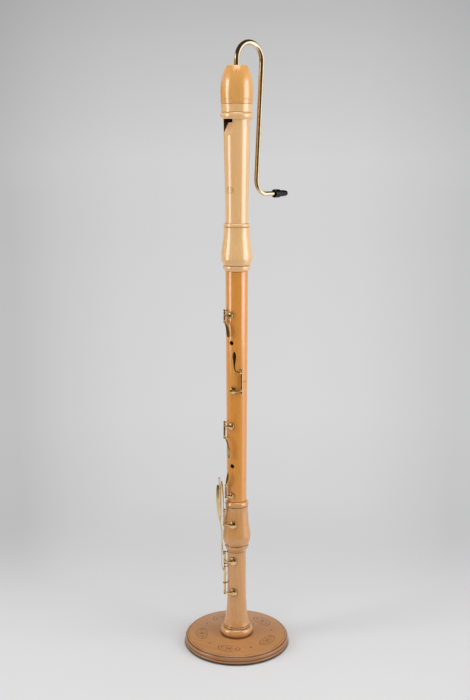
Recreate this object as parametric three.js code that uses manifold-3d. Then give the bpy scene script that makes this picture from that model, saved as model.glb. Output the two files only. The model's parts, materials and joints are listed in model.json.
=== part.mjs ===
import * as THREE from 'three';
import { mergeVertices } from 'three/addons/utils/BufferGeometryUtils.js';
import Module from 'manifold-3d';

const wasm = await Module();
wasm.setup();

// Great bass recorder standing on its turned wooden floor stand. Millimetres, +Z up.
// The origin is the middle of the stand's underside. The finger holes face -Y, and the player is at +Y.
// A turn is an angle in degrees about the upright axis: 0 faces -Y, and it grows towards +X.
// Heights on a joint are shares of that joint's visible length, counted up from its lower shoulder.

// Clearances
const seatGap = 0.3;
const runningGap = 0.3;
const cutOverrun = 6;
const joinOverlap = 0.4;

// Facets around round pieces
const woodSides = 24;
const discSides = 40;
const smallSides = 10;
const stemSides = 6;
const ballSides = 8;
const cupSides = 16;
const wireSides = 5;

// Stand: felt underneath, turned disc, peg up into the foot's bore, one screw through the disc
const feltThickness = 1.6;
const feltRadius = 116;
const discThickness = 19.4;
const discRadius = 123;
const pegRadius = 9.6;
const pegHeight = 104;
const pegSocketDepth = 13;
const pegTaperShare = 0.86;
const pegTipShare = 0.93;
const screwShankRadius = 2;
const screwHeadRadius = 4.2;
const screwHeadHeight = 2.4;
const screwReach = 22;

// Foot joint
const footLength = 332.8;
const footRadius = 38.3;
const footBoreRadius = 11.6;
const footSocketRadius = 19.3;
const footSocketDepth = 40;
const footTurn = 10;

// Middle joint, with a tenon at each end
const middleLength = 535.5;
const middleTopRadius = 25.3;
const middleLowRadius = 22.7;
const middleBoreTopRadius = 16.2;
const middleBoreLowRadius = 12.4;
const upperTenonLength = 46;
const upperTenonRadius = 20.6;
const lowerTenonLength = 39;
const lowerTenonRadius = 18.4;

// Head joint, its block and its voicing window
const headLength = 359.8;
const headRadius = 35.7;
const headBoreRadius = 17;
const headSocketRadius = 21.5;
const headSocketDepth = 47;
const headTenonLength = 38;
const headTenonRadius = 25.8;
const headTurn = -18;
const windowWidth = 28;
const windowHeight = 7;
const windwayWidth = 26;
const windwayFloor = 15.9;
const windwayRoof = 18.7;
const lipDepth = 18.1;
const blockLength = 69.3;
const rampLengthShare = 1.15;
const rampSurfaceShare = 0.827;

// Cap over the head's upper tenon
const capLength = 79.7;
const capRadius = 35.5;
const capSocketRadius = 26.7;
const capChamberRadius = 20;
const capChamberHeight = 17;

// Cork lapping on the tenons
const corkThickness = 1.5;
const corkLength = 24;

// Bocal: one bent brass tube from the cap over to the player
const bocalRootRadius = 6.6;
const bocalTailRadius = 5.2;
const bocalTaperPower = 0.6;
const bocalBoreRadius = 3.9;
const bocalPlugDepth = 19;
const bocalRise = 14.1;
const bocalArcRadius = 37.5;
const bocalLean = 3.3;
const bocalDrop = 253;
const bocalBendRadius = 30;
const bocalTail = 39.5;
const bocalTurn = 162;
const bocalCorkLength = 16;
const bocalCorkThickness = 0.8;

// Mouthpiece, pushed on the bocal's tail
const mouthpieceLength = 41.5;
const mouthpieceRadius = 9.6;
const mouthpieceBoreRadius = 2.4;
const mouthpieceSocketDepth = 15;

// Keywork sizes shared by every key
const rodRadius = 1.1;
const tubeRadius = 2.4;
const postBallRadius = 3;
const postStemRadius = 1.5;
const postSinkDepth = 4.6;
const guideRadius = 4.1;
const guideLength = 3.2;
const armWidth = 3.6;
const armThickness = 2;
const armSwell = 2;
const armFlareShare = 0.33;
const touchThickness = 1.7;
const cupWall = 0.9;
const cupSkin = 1;
const cupRimHeight = 1.9;
const cupDomeHeight = 1.5;
const domeShoulderShare = 0.67;
const padThickness = 2.3;
const padShow = 0.9;
const padLift = 3;
const recessClearance = 0.9;
const padCupRadius = 8.1;
const toneHoleRadius = 5.4;
const touchWidth = 9.5;
const middleRodDistance = 31;
const middleNearRodDistance = 29.2;
const footRodDistance = 30.2;
const footHighRodDistance = 32.8;
const springRadius = 0.45;
const springStand = 0.9;
const springSinkDepth = 3.5;
const springReach = 34;

// Plain finger holes and the thumb hole
const fingerHoleRadius = 4.7;
const thumbHoleRadius = 4.4;

// Strap ring at the back
const strapPlateWidth = 11;
const strapPlateHeight = 30;
const strapPlateThickness = 1.8;
const strapRingRadius = 7;
const strapWireRadius = 1.4;
const strapScrewRadius = 1.3;
const strapScrewHeadRadius = 2.3;
const strapScrewHeadHeight = 0.8;
const strapScrewReach = 5;
const strapScrewPlaceShare = 0.37;
const strapHeightShare = 0.5743;

// Outlines: [share of the largest radius, share of the length], from the bottom up
const discOutlineShares = [
  [0.984, 0], [0.997, 0.067], [1, 0.1495], [0.994, 0.2938], [0.985, 0.3557], [0.992, 0.4381],
  [0.995, 0.5979], [0.989, 0.7371], [0.971, 0.8247], [0.963, 0.8969], [0.946, 0.9433],
  [0.932, 0.9691], [0.92, 1],
];
const footOutlineShares = [
  [0.773, 0], [0.94, 0.0066], [1, 0.0246], [0.966, 0.0421], [0.851, 0.0571], [0.825, 0.0601],
  [0.841, 0.0655], [0.825, 0.0715], [0.799, 0.0775], [0.747, 0.0974], [0.679, 0.1394],
  [0.627, 0.1935], [0.595, 0.2506], [0.58, 0.3077], [0.569, 0.4459], [0.577, 0.6112],
  [0.59, 0.6412], [0.697, 0.649], [0.728, 0.6635], [0.715, 0.6773], [0.807, 0.7028],
  [0.846, 0.7248], [0.851, 0.7407], [0.833, 0.7623], [0.789, 0.7972], [0.744, 0.8338],
  [0.708, 0.8936], [0.687, 0.9357], [0.684, 0.9591], [0.695, 0.9639], [0.723, 0.9724],
  [0.715, 0.9826], [0.668, 0.994], [0.608, 1],
];
const headOutlineShares = [
  [0.756, 0], [0.846, 0.0097], [0.868, 0.0225], [0.846, 0.0314], [0.818, 0.0353], [0.874, 0.0414],
  [0.936, 0.0542], [0.983, 0.0709], [0.994, 0.0834], [0.978, 0.1042], [0.93, 0.1376],
  [0.863, 0.1848], [0.824, 0.2265], [0.818, 0.2671], [0.832, 0.2749], [0.838, 0.2821],
  [0.824, 0.2904], [0.728, 0.2954], [0.723, 0.3377], [0.725, 0.3877], [0.737, 0.4711],
  [0.759, 0.6101], [0.79, 0.7629], [0.818, 0.8936], [0.829, 0.9097], [0.941, 0.9147], [1, 0.9308],
  [0.989, 0.9408], [0.933, 0.9508], [0.938, 0.9658], [0.958, 1],
];
const capOutlineShares = [
  [0.963, 0], [0.98, 0.0678], [0.993, 0.1932], [1, 0.3563], [0.992, 0.4693], [0.966, 0.5947],
  [0.915, 0.7302], [0.848, 0.8557], [0.783, 0.9235], [0.724, 0.9661], [0.654, 1],
];
const mouthpieceOutlineShares = [
  [0.92, 0], [1, 0.04], [1, 0.36], [0.93, 0.405], [0.81, 0.43], [0.77, 0.6], [0.7, 0.85],
  [0.59, 0.97], [0.4, 1],
];

// Keys. cup, rod and touch places: turns in degrees, heights as shares of the joint's length.
// Size shares are of padCupRadius, toneHoleRadius and touchWidth.
// touch rows are [turn, share of the rod's distance, height share, share of the touch's width].
// Where the touch doesn't face straight out, its row ends with the turn it faces.
const middleKeys = [
  {
    name: 'key_1', cupTurn: -4.5, cupHeightShare: 0.8194, cupSizeShare: 1, holeSizeShare: 1,
    rodTurn: -33.5, rodDistance: middleRodDistance,
    rodHeightShares: [0.7886, 0.837], springHeightShare: 0.8088,
    touchSizeShare: 1.0526,
    touchShares: [
      [-33.5, 1.029, 0.8099, 0.38], [-30, 1.103, 0.7994, 0.38], [-20.3, 1.129, 0.7886, 0.46],
      [-13.3, 1.129, 0.7785, 0.62], [-9.1, 1.113, 0.7669, 0.82], [-7.1, 1.084, 0.7522, 0.98],
      [-6.4, 1.065, 0.7415, 1], [-6.5, 1.048, 0.7322, 0.8],
    ],
  },
  {
    name: 'key_3', cupTurn: 10, cupHeightShare: 0.4991, cupSizeShare: 0.963, holeSizeShare: 0.963,
    rodTurn: 51, rodDistance: middleNearRodDistance,
    rodHeightShares: [0.487, 0.5851], springHeightShare: 0.5339,
    touchSizeShare: 0.9684,
    touchShares: [
      [51, 1.021, 0.5729, 0.37], [44, 1.089, 0.5761, 0.36], [34, 1.127, 0.5798, 0.36],
      [26, 1.11, 0.5839, 0.36], [21.4, 1.082, 0.5895, 0.36], [19.2, 1.058, 0.6, 0.39],
      [18.7, 1.038, 0.6149, 0.5], [18.9, 1.034, 0.6299, 0.76], [18.9, 1.034, 0.6448, 1],
      [18.9, 1.038, 0.6577, 0.8], [18.9, 1.041, 0.6663, 0.3],
    ],
  },
  {
    name: 'key_4', cupTurn: -1, cupHeightShare: 0.3423, cupSizeShare: 1, holeSizeShare: 1,
    rodTurn: -35.5, rodDistance: middleRodDistance,
    rodHeightShares: [0.2863, 0.3553], springHeightShare: 0.3208,
    touchSizeShare: 0.8842,
    touchShares: [
      [-35.5, 1.029, 0.3008, 0.4], [-27, 1.11, 0.2965, 0.4], [-16.3, 1.142, 0.2891, 0.43],
      [-8.6, 1.148, 0.2779, 0.5], [-5.2, 1.129, 0.2627, 0.6], [-3.3, 1.103, 0.2428, 0.79],
      [-3, 1.071, 0.2246, 1], [-3.8, 1.052, 0.2088, 0.98], [-4, 1.045, 0.1994, 0.48],
    ],
  },
  {
    name: 'key_6', cupTurn: -2, cupHeightShare: 0.0323, cupSizeShare: 0.8765, holeSizeShare: 0.8704,
    rodTurn: -31, rodDistance: middleNearRodDistance,
    rodHeightShares: [0.02, 0.0729], springHeightShare: 0.0524,
    touchSizeShare: 0.7789,
    touchShares: [
      [-31, 1.031, 0.0564, 0.45], [-28.5, 1.116, 0.0613, 0.45], [-22, 1.144, 0.0711, 0.57],
      [-15.8, 1.164, 0.0846, 0.76], [-12.1, 1.151, 0.1025, 1], [-9.8, 1.123, 0.1184, 0.95],
      [-9.7, 1.096, 0.13, 0.68], [-9.8, 1.082, 0.1393, 0.3],
    ],
  },
];
const footKeys = [
  {
    name: 'key_6_low', cupTurn: 15, cupHeightShare: 0.8456, cupSizeShare: 1.0617, holeSizeShare: 1.037,
    rodTurn: -35, rodDistance: footHighRodDistance,
    rodHeightShares: [0.8285, 0.9417], springHeightShare: 0.8786,
    touchSizeShare: 0.6737,
    touchShares: [
      [-35, 1.021, 0.9023, 0.55], [-33.5, 1.079, 0.9147, 0.55], [-30.5, 1.104, 0.9387, 0.53],
      [-27.8, 1.116, 0.9748, 0.52], [-27.3, 1.128, 1.0189, 0.53], [-29.1, 1.146, 1.0694, 0.62, -24],
      [-31.6, 1.165, 1.1103, 0.91, -20], [-34.1, 1.177, 1.1337, 1, -20],
      [-35, 1.183, 1.155, 0.41, -20],
    ],
  },
  {
    name: 'key_7', cupTurn: 9, cupHeightShare: 0.5661, cupSizeShare: 1.1605, holeSizeShare: 1.1852,
    rodTurn: -41, rodDistance: footRodDistance,
    rodHeightShares: [0.5346, 0.6232], springHeightShare: 0.552,
    touchSizeShare: 0.7579,
    touchShares: [
      [-41, 1.03, 0.5898, 0.56], [-47, 1.06, 0.5986, 0.56], [-55, 1.079, 0.6154, 0.56],
      [-64, 1.119, 0.6553, 0.58], [-70, 1.179, 0.7049, 0.61], [-71, 1.199, 0.7425, 0.61],
      [-68, 1.212, 0.7885, 0.61], [-58, 1.252, 0.8365, 0.61], [-45, 1.291, 0.8756, 0.61],
      [-37.5, 1.325, 0.9087, 0.61], [-35.3, 1.351, 0.9357, 0.64, -30], [-35, 1.364, 0.9657, 0.67, -24],
      [-33.3, 1.377, 1.0177, 0.69, -20], [-32.7, 1.391, 1.0769, 0.69, -20],
      [-32.7, 1.424, 1.1136, 0.69, -18], [-33.3, 1.467, 1.1391, 0.69, -16],
      [-32.9, 1.51, 1.1596, 0.86, -14], [-31.7, 1.53, 1.1752, 1, -14], [-31, 1.54, 1.1875, 0.42, -14],
    ],
  },
  {
    name: 'key_7_low', cupTurn: 11, cupHeightShare: 0.3317, cupSizeShare: 1.1605, holeSizeShare: 1.1852,
    rodTurn: -41, rodDistance: footRodDistance,
    rodHeightShares: [0.3115, 0.5128], springHeightShare: 0.4468,
    guideHeightShare: 0.3912,
    touchSizeShare: 1.0526,
    touchShares: [
      [-41, 1.03, 0.4745, 0.44], [-42, 1.099, 0.4886, 0.44], [-45, 1.189, 0.5054, 0.46],
      [-46.5, 1.209, 0.5312, 0.46], [-47, 1.209, 0.5956, 0.46], [-46.5, 1.219, 0.6653, 0.46],
      [-42, 1.225, 0.7103, 0.46], [-38, 1.235, 0.7494, 0.46], [-35.8, 1.278, 0.7906, 0.48],
      [-35.5, 1.341, 0.8281, 0.54, -30], [-36.3, 1.424, 0.8693, 0.62, -24],
      [-37, 1.507, 0.9141, 0.74, -18], [-36.2, 1.573, 0.9597, 0.88, -13],
      [-34.7, 1.606, 1.0198, 1, -10], [-34.6, 1.606, 1.0709, 1, -10], [-34, 1.603, 1.1151, 0.94, -10],
      [-33.9, 1.596, 1.1322, 0.5, -10],
    ],
  },
];
const fingerHoles = [
  { turn: 0, heightShare: 0.7008 },
  { turn: 2, heightShare: 0.163 },
];
const thumbHole = { turn: 180, heightShare: 0.8757 };

// Section of the flat bars, as shares of half the width and half the thickness
const barSectionShares = [
  [-1, -0.3], [-0.8, -1], [0.8, -1], [1, -0.3], [1, 0.3], [0.8, 1], [-0.8, 1], [-1, 0.3],
];

// Steps along a key's arm and along its spring, as shares of the way
const armStepShares = [0, 0.2, 0.45, 0.7, 1];
const springStepShares = [0, 0.03, 0.35, 0.65, 0.9, 1];

// Heights that follow from the sizes above
const footBottom = feltThickness + seatGap + discThickness + seatGap;
const middleBottom = footBottom + footLength + seatGap;
const headBottom = middleBottom + middleLength + seatGap;
const capBottom = headBottom + headLength + seatGap;
const up = new THREE.Vector3(0, 0, 1);

// Turning degrees into places

function radians(degrees) {
  return THREE.MathUtils.degToRad(degrees);
}

function outward(turn) {
  return new THREE.Vector3(Math.sin(radians(turn)), -Math.cos(radians(turn)), 0);
}

function place(distance, turn, height) {
  return outward(turn).multiplyScalar(distance).setZ(height);
}

function middleRadiusAt(heightShare) {
  return THREE.MathUtils.lerp(middleLowRadius, middleTopRadius, heightShare);
}

function footRadiusAt(heightShare) {
  const above = footOutlineShares.findIndex((row) => row[1] >= heightShare);
  const [lowRadius, lowHeight] = footOutlineShares[above - 1];
  const [highRadius, highHeight] = footOutlineShares[above];
  const blend = (heightShare - lowHeight) / (highHeight - lowHeight);
  return footRadius * THREE.MathUtils.lerp(lowRadius, highRadius, blend);
}

// Solids: three.js geometry into manifold-3d and back

function solid(geometry) {
  const bare = geometry.clone();
  bare.deleteAttribute('normal');
  bare.deleteAttribute('uv');
  const merged = mergeVertices(bare);
  const index = merged.index.array;
  const corners = [];
  for (let i = 0; i < index.length; i += 3) {
    const [a, b, c] = [index[i], index[i + 1], index[i + 2]];
    if (a !== b && b !== c && c !== a) {
      corners.push(a, b, c);
    }
  }
  const places = new Float32Array(merged.attributes.position.array);
  const body = manifoldOf(places, corners);
  if (body.volume() > 0) {
    return body;
  }
  const flipped = [];
  for (let i = 0; i < corners.length; i += 3) {
    flipped.push(corners[i], corners[i + 2], corners[i + 1]);
  }
  return manifoldOf(places, flipped);
}

function manifoldOf(vertProperties, corners) {
  const triVerts = new Uint32Array(corners);
  return new wasm.Manifold(new wasm.Mesh({ numProp: 3, vertProperties, triVerts }));
}

function geometryOf(body) {
  const mesh = body.getMesh();
  const geometry = new THREE.BufferGeometry();
  const count = mesh.vertProperties.length / mesh.numProp;
  const positions = new Float32Array(count * 3);
  for (let i = 0; i < count; i += 1) {
    positions.set(mesh.vertProperties.subarray(i * mesh.numProp, i * mesh.numProp + 3), i * 3);
  }
  geometry.setAttribute('position', new THREE.BufferAttribute(positions, 3));
  geometry.setIndex(new THREE.BufferAttribute(new Uint32Array(mesh.triVerts), 1));
  geometry.computeVertexNormals();
  return geometry;
}

function join(bodies) {
  return bodies.reduce((whole, body) => whole.add(body));
}

function cut(body, cutters) {
  return cutters.reduce((whole, cutter) => whole.subtract(cutter), body);
}

// Shapes

function turned(points, sides) {
  const outline = points.map(([radius, height]) => new THREE.Vector2(radius, height));
  outline.push(outline[0].clone());
  return new THREE.LatheGeometry(outline, sides).rotateX(Math.PI / 2);
}

function outlineOf(shares, radius, length) {
  return shares.map(([radiusShare, heightShare]) => [radius * radiusShare, length * heightShare]);
}

function upright(radius, low, high, sides) {
  const bar = new THREE.CylinderGeometry(radius, radius, high - low, sides).rotateX(Math.PI / 2);
  return bar.translate(0, 0, (low + high) / 2);
}

function radial(radius, inner, outer, turn, height, sides) {
  const bar = new THREE.CylinderGeometry(radius, radius, outer - inner, sides);
  bar.translate(0, -(inner + outer) / 2, 0);
  return bar.rotateZ(radians(turn)).translate(0, 0, height);
}

function bar(points, outs, widths, thicknesses, sectionShares) {
  const curve = new THREE.CatmullRomCurve3(points, false, 'centripetal');
  const positions = [];
  const count = points.length;
  const sides = sectionShares.length;
  for (let i = 0; i < count; i += 1) {
    const along = tangentAt(curve, i / (count - 1));
    const side = new THREE.Vector3().crossVectors(along, outs[i]).normalize();
    const out = new THREE.Vector3().crossVectors(side, along).normalize();
    for (const [sideShare, outShare] of sectionShares) {
      const corner = points[i].clone();
      corner.addScaledVector(side, widths[i] / 2 * sideShare);
      corner.addScaledVector(out, thicknesses[i] / 2 * outShare);
      positions.push(corner.x, corner.y, corner.z);
    }
  }
  const faces = [];
  for (let i = 0; i < count - 1; i += 1) {
    for (let k = 0; k < sides; k += 1) {
      const next = (k + 1) % sides;
      const [a, b] = [i * sides + k, i * sides + next];
      faces.push(a, b, b + sides, a, b + sides, a + sides);
    }
  }
  const last = (count - 1) * sides;
  for (let k = 1; k < sides - 1; k += 1) {
    faces.push(0, k + 1, k, last, last + k, last + k + 1);
  }
  const geometry = new THREE.BufferGeometry();
  geometry.setAttribute('position', new THREE.BufferAttribute(new Float32Array(positions), 3));
  geometry.setIndex(faces);
  return geometry;
}

function tangentAt(curve, share) {
  return curve.getTangent(share).normalize();
}

function ring(sides) {
  const corners = [];
  for (let k = 0; k < sides; k += 1) {
    const angle = (k / sides) * 2 * Math.PI;
    corners.push([Math.cos(angle), Math.sin(angle)]);
  }
  return corners;
}

// Materials

function material(color, roughness, metalness) {
  return new THREE.MeshStandardMaterial({ color, roughness, metalness });
}

const headWood = material(0xe0bd97, 0.35, 0);
const capWood = material(0xd9a468, 0.35, 0);
const middleWood = material(0xd19a52, 0.35, 0);
const footWood = material(0xc79865, 0.35, 0);
const standWood = material(0xb07c50, 0.45, 0);
const blockWood = material(0xb5764a, 0.6, 0);
const cork = material(0xb98d5e, 0.9, 0);
const felt = material(0x3a2a20, 0.95, 0);
const brass = material(0xd8b463, 0.2, 1);
const steel = material(0xb9b9b6, 0.3, 1);
const leather = material(0xd8c7a8, 0.7, 0);
const blackPlastic = material(0x151515, 0.25, 0);

function piece(name, body, finish) {
  const mesh = new THREE.Mesh(body.isBufferGeometry ? body : geometryOf(body), finish);
  mesh.name = name;
  return mesh;
}

// Stand

const discFloor = feltThickness + seatGap;
const pegSocketFloor = discThickness - pegSocketDepth;

function standScrewPoints(grow) {
  const shank = screwShankRadius + grow;
  const head = screwHeadRadius + grow;
  const neck = screwHeadHeight + grow;
  return [[0, 0], [head, 0], [shank, neck], [shank, screwReach + grow], [0, screwReach + grow]];
}

function standFelt() {
  return piece('stand_felt', upright(feltRadius, 0, feltThickness, discSides), felt);
}

function standDisc() {
  const points = outlineOf(discOutlineShares, discRadius, discThickness);
  const plate = solid(turned([[0, 0], ...points, [0, discThickness]], discSides));
  const socket = solid(upright(pegRadius + seatGap, pegSocketFloor, discThickness + cutOverrun, woodSides));
  const screwHole = solid(turned(standScrewPoints(seatGap), smallSides).translate(0, 0, -seatGap));
  const mesh = piece('stand_disc', cut(plate, [socket, screwHole]), standWood);
  mesh.position.z = discFloor;
  return mesh;
}

function standPeg() {
  const taper = pegHeight * pegTaperShare;
  const shoulder = pegHeight * pegTipShare;
  const slim = pegRadius * pegTaperShare;
  const points = [
    [0, 0], [pegRadius, 0], [pegRadius, pegSocketDepth], [pegRadius * pegTipShare, taper],
    [slim, shoulder], [slim / 2, pegHeight], [0, pegHeight],
  ];
  const hole = turned(standScrewPoints(seatGap), smallSides).translate(0, 0, -pegSocketFloor - 2 * seatGap);
  const mesh = piece('stand_peg', cut(solid(turned(points, woodSides)), [solid(hole)]), standWood);
  mesh.position.z = discFloor + pegSocketFloor + seatGap;
  return mesh;
}

function standScrew() {
  const mesh = piece('stand_screw', turned(standScrewPoints(0), smallSides), steel);
  mesh.position.z = discFloor;
  return mesh;
}

// Tenons and their cork

function tenonPoints(radius, start, end) {
  const low = (start + end - corkLength) / 2;
  const high = (start + end + corkLength) / 2;
  const deep = radius - corkThickness;
  return [[radius, start], [radius, low], [deep, low], [deep, high], [radius, high], [radius, end]];
}

function tenonCork(name, radius, start, end, socket) {
  const low = (start + end - corkLength) / 2 + seatGap;
  const high = (start + end + corkLength) / 2 - seatGap;
  const inner = radius - corkThickness + seatGap;
  const outer = socket - seatGap;
  const section = [[inner, low], [outer, low], [outer, high], [inner, high]];
  return piece(name, turned(section, woodSides), cork);
}

// Key geometry shared by the wood, the posts and the levers

function keyPlaces(key, jointLength, radiusAt) {
  const woodRadius = radiusAt(key.cupHeightShare);
  const cupRadius = padCupRadius * key.cupSizeShare;
  const seat = Math.sqrt(woodRadius ** 2 - cupRadius ** 2);
  const cupAngle = key.cupTurn - key.rodTurn;
  const leverArm = key.rodDistance * Math.abs(Math.sin(radians(cupAngle)));
  return {
    seat,
    cupRadius,
    cupAngle,
    side: Math.sign(cupAngle),
    opening: Math.asin(padLift / leverArm),
    cupHeight: jointLength * key.cupHeightShare,
    rodLow: jointLength * key.rodHeightShares[0],
    rodHigh: jointLength * key.rodHeightShares[1],
    springHeight: jointLength * key.springHeightShare,
    guideHeight: key.guideHeightShare ? jointLength * key.guideHeightShare : null,
  };
}

function postHeights(places) {
  return [places.rodLow, places.rodHigh].concat(places.guideHeight === null ? [] : [places.guideHeight]);
}

function keyCutters(key, jointLength, radiusAt, boreRadius) {
  const places = keyPlaces(key, jointLength, radiusAt);
  const outer = key.rodDistance + cutOverrun;
  const hole = toneHoleRadius * key.holeSizeShare;
  const recess = places.cupRadius + recessClearance;
  const cutters = [
    solid(radial(hole, boreRadius / 2, outer, key.cupTurn, places.cupHeight, smallSides)),
    solid(radial(recess, places.seat, outer, key.cupTurn, places.cupHeight, cupSides)),
  ];
  for (const height of postHeights(places)) {
    const depth = radiusAt(height / jointLength) - postSinkDepth - seatGap;
    cutters.push(solid(radial(postStemRadius + seatGap, depth, outer, key.rodTurn, height, stemSides)));
  }
  const springFloor = radiusAt(key.springHeightShare) - springSinkDepth - seatGap;
  const springTurn = key.rodTurn - places.side * springReach;
  const springHole = springRadius + seatGap;
  cutters.push(solid(radial(springHole, springFloor, outer, springTurn, places.springHeight, wireSides)));
  return cutters;
}

function keyLever(key, jointLength, radiusAt) {
  const places = keyPlaces(key, jointLength, radiusAt);
  const pivot = new THREE.Vector3(0, -key.rodDistance, 0);
  const tubeLow = places.rodLow + postBallRadius + runningGap;
  const tubeHigh = places.rodHigh - postBallRadius - runningGap;
  const tube = solid(upright(tubeRadius, tubeLow, tubeHigh, smallSides).translate(0, pivot.y, 0));
  const cup = keyCup(key, places);
  const arm = keyArm(key, places);
  const closed = join([cup, arm]);
  const opened = solid(aboutRod(geometryOf(closed), pivot, -places.side * places.opening));
  const touch = keyTouch(key, jointLength);
  const bore = upright(rodRadius + runningGap, tubeLow - cutOverrun, tubeHigh + cutOverrun, smallSides);
  const whole = cut(join([tube, opened, touch]), [solid(bore.translate(0, pivot.y, 0))]);
  const mesh = piece(key.name + '_lever', geometryOf(whole).translate(-pivot.x, -pivot.y, 0), brass);
  mesh.position.copy(pivot);
  return mesh;
}

// Turns a lever's geometry about its pivot rod

function aboutRod(geometry, pivot, angle) {
  return geometry.translate(-pivot.x, -pivot.y, 0).rotateZ(angle).translate(pivot.x, pivot.y, 0);
}

function keyCup(key, places) {
  const rim = places.seat + seatGap + padShow;
  const ceiling = places.seat + 2 * seatGap + padThickness;
  const outer = places.cupRadius;
  const inner = outer - cupWall;
  const shoulder = ceiling + cupSkin;
  const dome = shoulder + cupDomeHeight * domeShoulderShare;
  const points = [
    [0, ceiling], [inner, ceiling], [inner, rim], [outer, rim], [outer, rim + cupRimHeight],
    [inner, shoulder], [outer / 2, dome], [0, shoulder + cupDomeHeight],
  ];
  const cup = turned(points, cupSides).rotateX(Math.PI / 2).translate(0, 0, places.cupHeight);
  return solid(cup.rotateZ(radians(places.cupAngle)));
}

function keyArm(key, places) {
  const end = places.seat + 2 * seatGap + padThickness + cupSkin + cupDomeHeight / 2;
  const points = armStepShares.map((share) => {
    const distance = THREE.MathUtils.lerp(key.rodDistance + tubeRadius / 2, end, share);
    const swell = armSwell * Math.sin(Math.PI * share);
    return place(distance + swell, places.cupAngle * share, places.cupHeight);
  });
  const outs = armStepShares.map((share) => outward(places.cupAngle * share));
  const widths = armStepShares.map((share) => armWidth * (1 + share * armFlareShare));
  return solid(bar(points, outs, widths, widths.map(() => armThickness), barSectionShares));
}

function keyTouch(key, jointLength) {
  const rows = key.touchShares;
  const points = rows.map(([turn, distanceShare, heightShare]) => (
    place(key.rodDistance * distanceShare, turn - key.rodTurn, jointLength * heightShare)
  ));
  const outs = rows.map((row) => outward((row[4] ?? row[0]) - key.rodTurn));
  const widths = rows.map((row) => touchWidth * key.touchSizeShare * row[3]);
  return solid(bar(points, outs, widths, rows.map(() => touchThickness), barSectionShares));
}

function keyPad(key, jointLength, radiusAt) {
  const places = keyPlaces(key, jointLength, radiusAt);
  const radius = places.cupRadius - cupWall - seatGap;
  const low = places.seat + seatGap;
  const pad = radial(radius, low, low + padThickness, places.cupAngle, places.cupHeight, cupSides);
  const pivot = new THREE.Vector3(0, -key.rodDistance, 0);
  const opened = aboutRod(pad, pivot, -places.side * places.opening);
  const mesh = piece(key.name + '_pad', opened.translate(-pivot.x, -pivot.y, 0), leather);
  mesh.position.copy(pivot);
  return mesh;
}

function keyRod(key, jointLength, radiusAt) {
  const places = keyPlaces(key, jointLength, radiusAt);
  const low = places.rodLow - postBallRadius;
  const high = places.rodHigh + postBallRadius;
  const rod = upright(rodRadius, low, high, ballSides);
  const mesh = piece(key.name + '_rod', rod, steel);
  mesh.position.y = -key.rodDistance;
  return mesh;
}

function keyPosts(key, jointLength, radiusAt) {
  const places = keyPlaces(key, jointLength, radiusAt);
  const names = ['_post_low', '_post_high', '_post_guide'];
  return postHeights(places).map((height, i) => {
    const foot = radiusAt(height / jointLength) - postSinkDepth;
    const stem = radial(postStemRadius, foot, key.rodDistance - rodRadius, 0, height, stemSides);
    const isGuide = height === places.guideHeight;
    const head = isGuide ? postCollar(height) : postBall(height);
    const holeRadius = (isGuide ? tubeRadius : rodRadius) + runningGap;
    const hole = upright(holeRadius, height - cutOverrun, height + cutOverrun, ballSides);
    head.translate(0, -key.rodDistance, 0);
    hole.translate(0, -key.rodDistance, 0);
    return piece(key.name + names[i], cut(join([solid(stem), solid(head)]), [solid(hole)]), brass);
  });
}

function postBall(height) {
  const ball = new THREE.SphereGeometry(postBallRadius, ballSides, ballSides / 2);
  return ball.rotateX(Math.PI / 2).translate(0, 0, height);
}

function postCollar(height) {
  return upright(guideRadius, height - guideLength / 2, height + guideLength / 2, smallSides);
}

function keySpring(key, jointLength, radiusAt) {
  const places = keyPlaces(key, jointLength, radiusAt);
  const wood = radiusAt(key.springHeightShare);
  const near = key.rodDistance - tubeRadius - springStand - springRadius;
  const anchor = -places.side * springReach;
  const points = [place(wood - springSinkDepth, anchor, places.springHeight)];
  for (const share of springStepShares) {
    const distance = THREE.MathUtils.lerp(wood + springStand, near, share);
    points.push(place(distance, anchor * (1 - share), places.springHeight));
  }
  const outs = points.map(() => up);
  const sizes = points.map(() => 2 * springRadius);
  return piece(key.name + '_spring', solid(bar(points, outs, sizes, sizes, ring(wireSides))), steel);
}

function addKeys(group, keys, jointLength, radiusAt) {
  for (const key of keys) {
    const station = new THREE.Group();
    station.rotation.z = radians(key.rodTurn);
    station.add(keyLever(key, jointLength, radiusAt));
    station.add(keyPad(key, jointLength, radiusAt));
    station.add(keyRod(key, jointLength, radiusAt));
    station.add(...keyPosts(key, jointLength, radiusAt));
    station.add(keySpring(key, jointLength, radiusAt));
    group.add(station);
  }
}

// Foot joint

function footJoint() {
  const socketFloor = footLength - footSocketDepth;
  const points = outlineOf(footOutlineShares, footRadius, footLength);
  points.push([footSocketRadius, footLength], [footSocketRadius, socketFloor]);
  points.push([footBoreRadius, socketFloor], [footBoreRadius, 0]);
  let wood = solid(turned(points, woodSides));
  for (const key of footKeys) {
    wood = cut(wood, keyCutters(key, footLength, footRadiusAt, footBoreRadius));
  }
  return piece('foot_joint', wood, footWood);
}

// Middle joint

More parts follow.
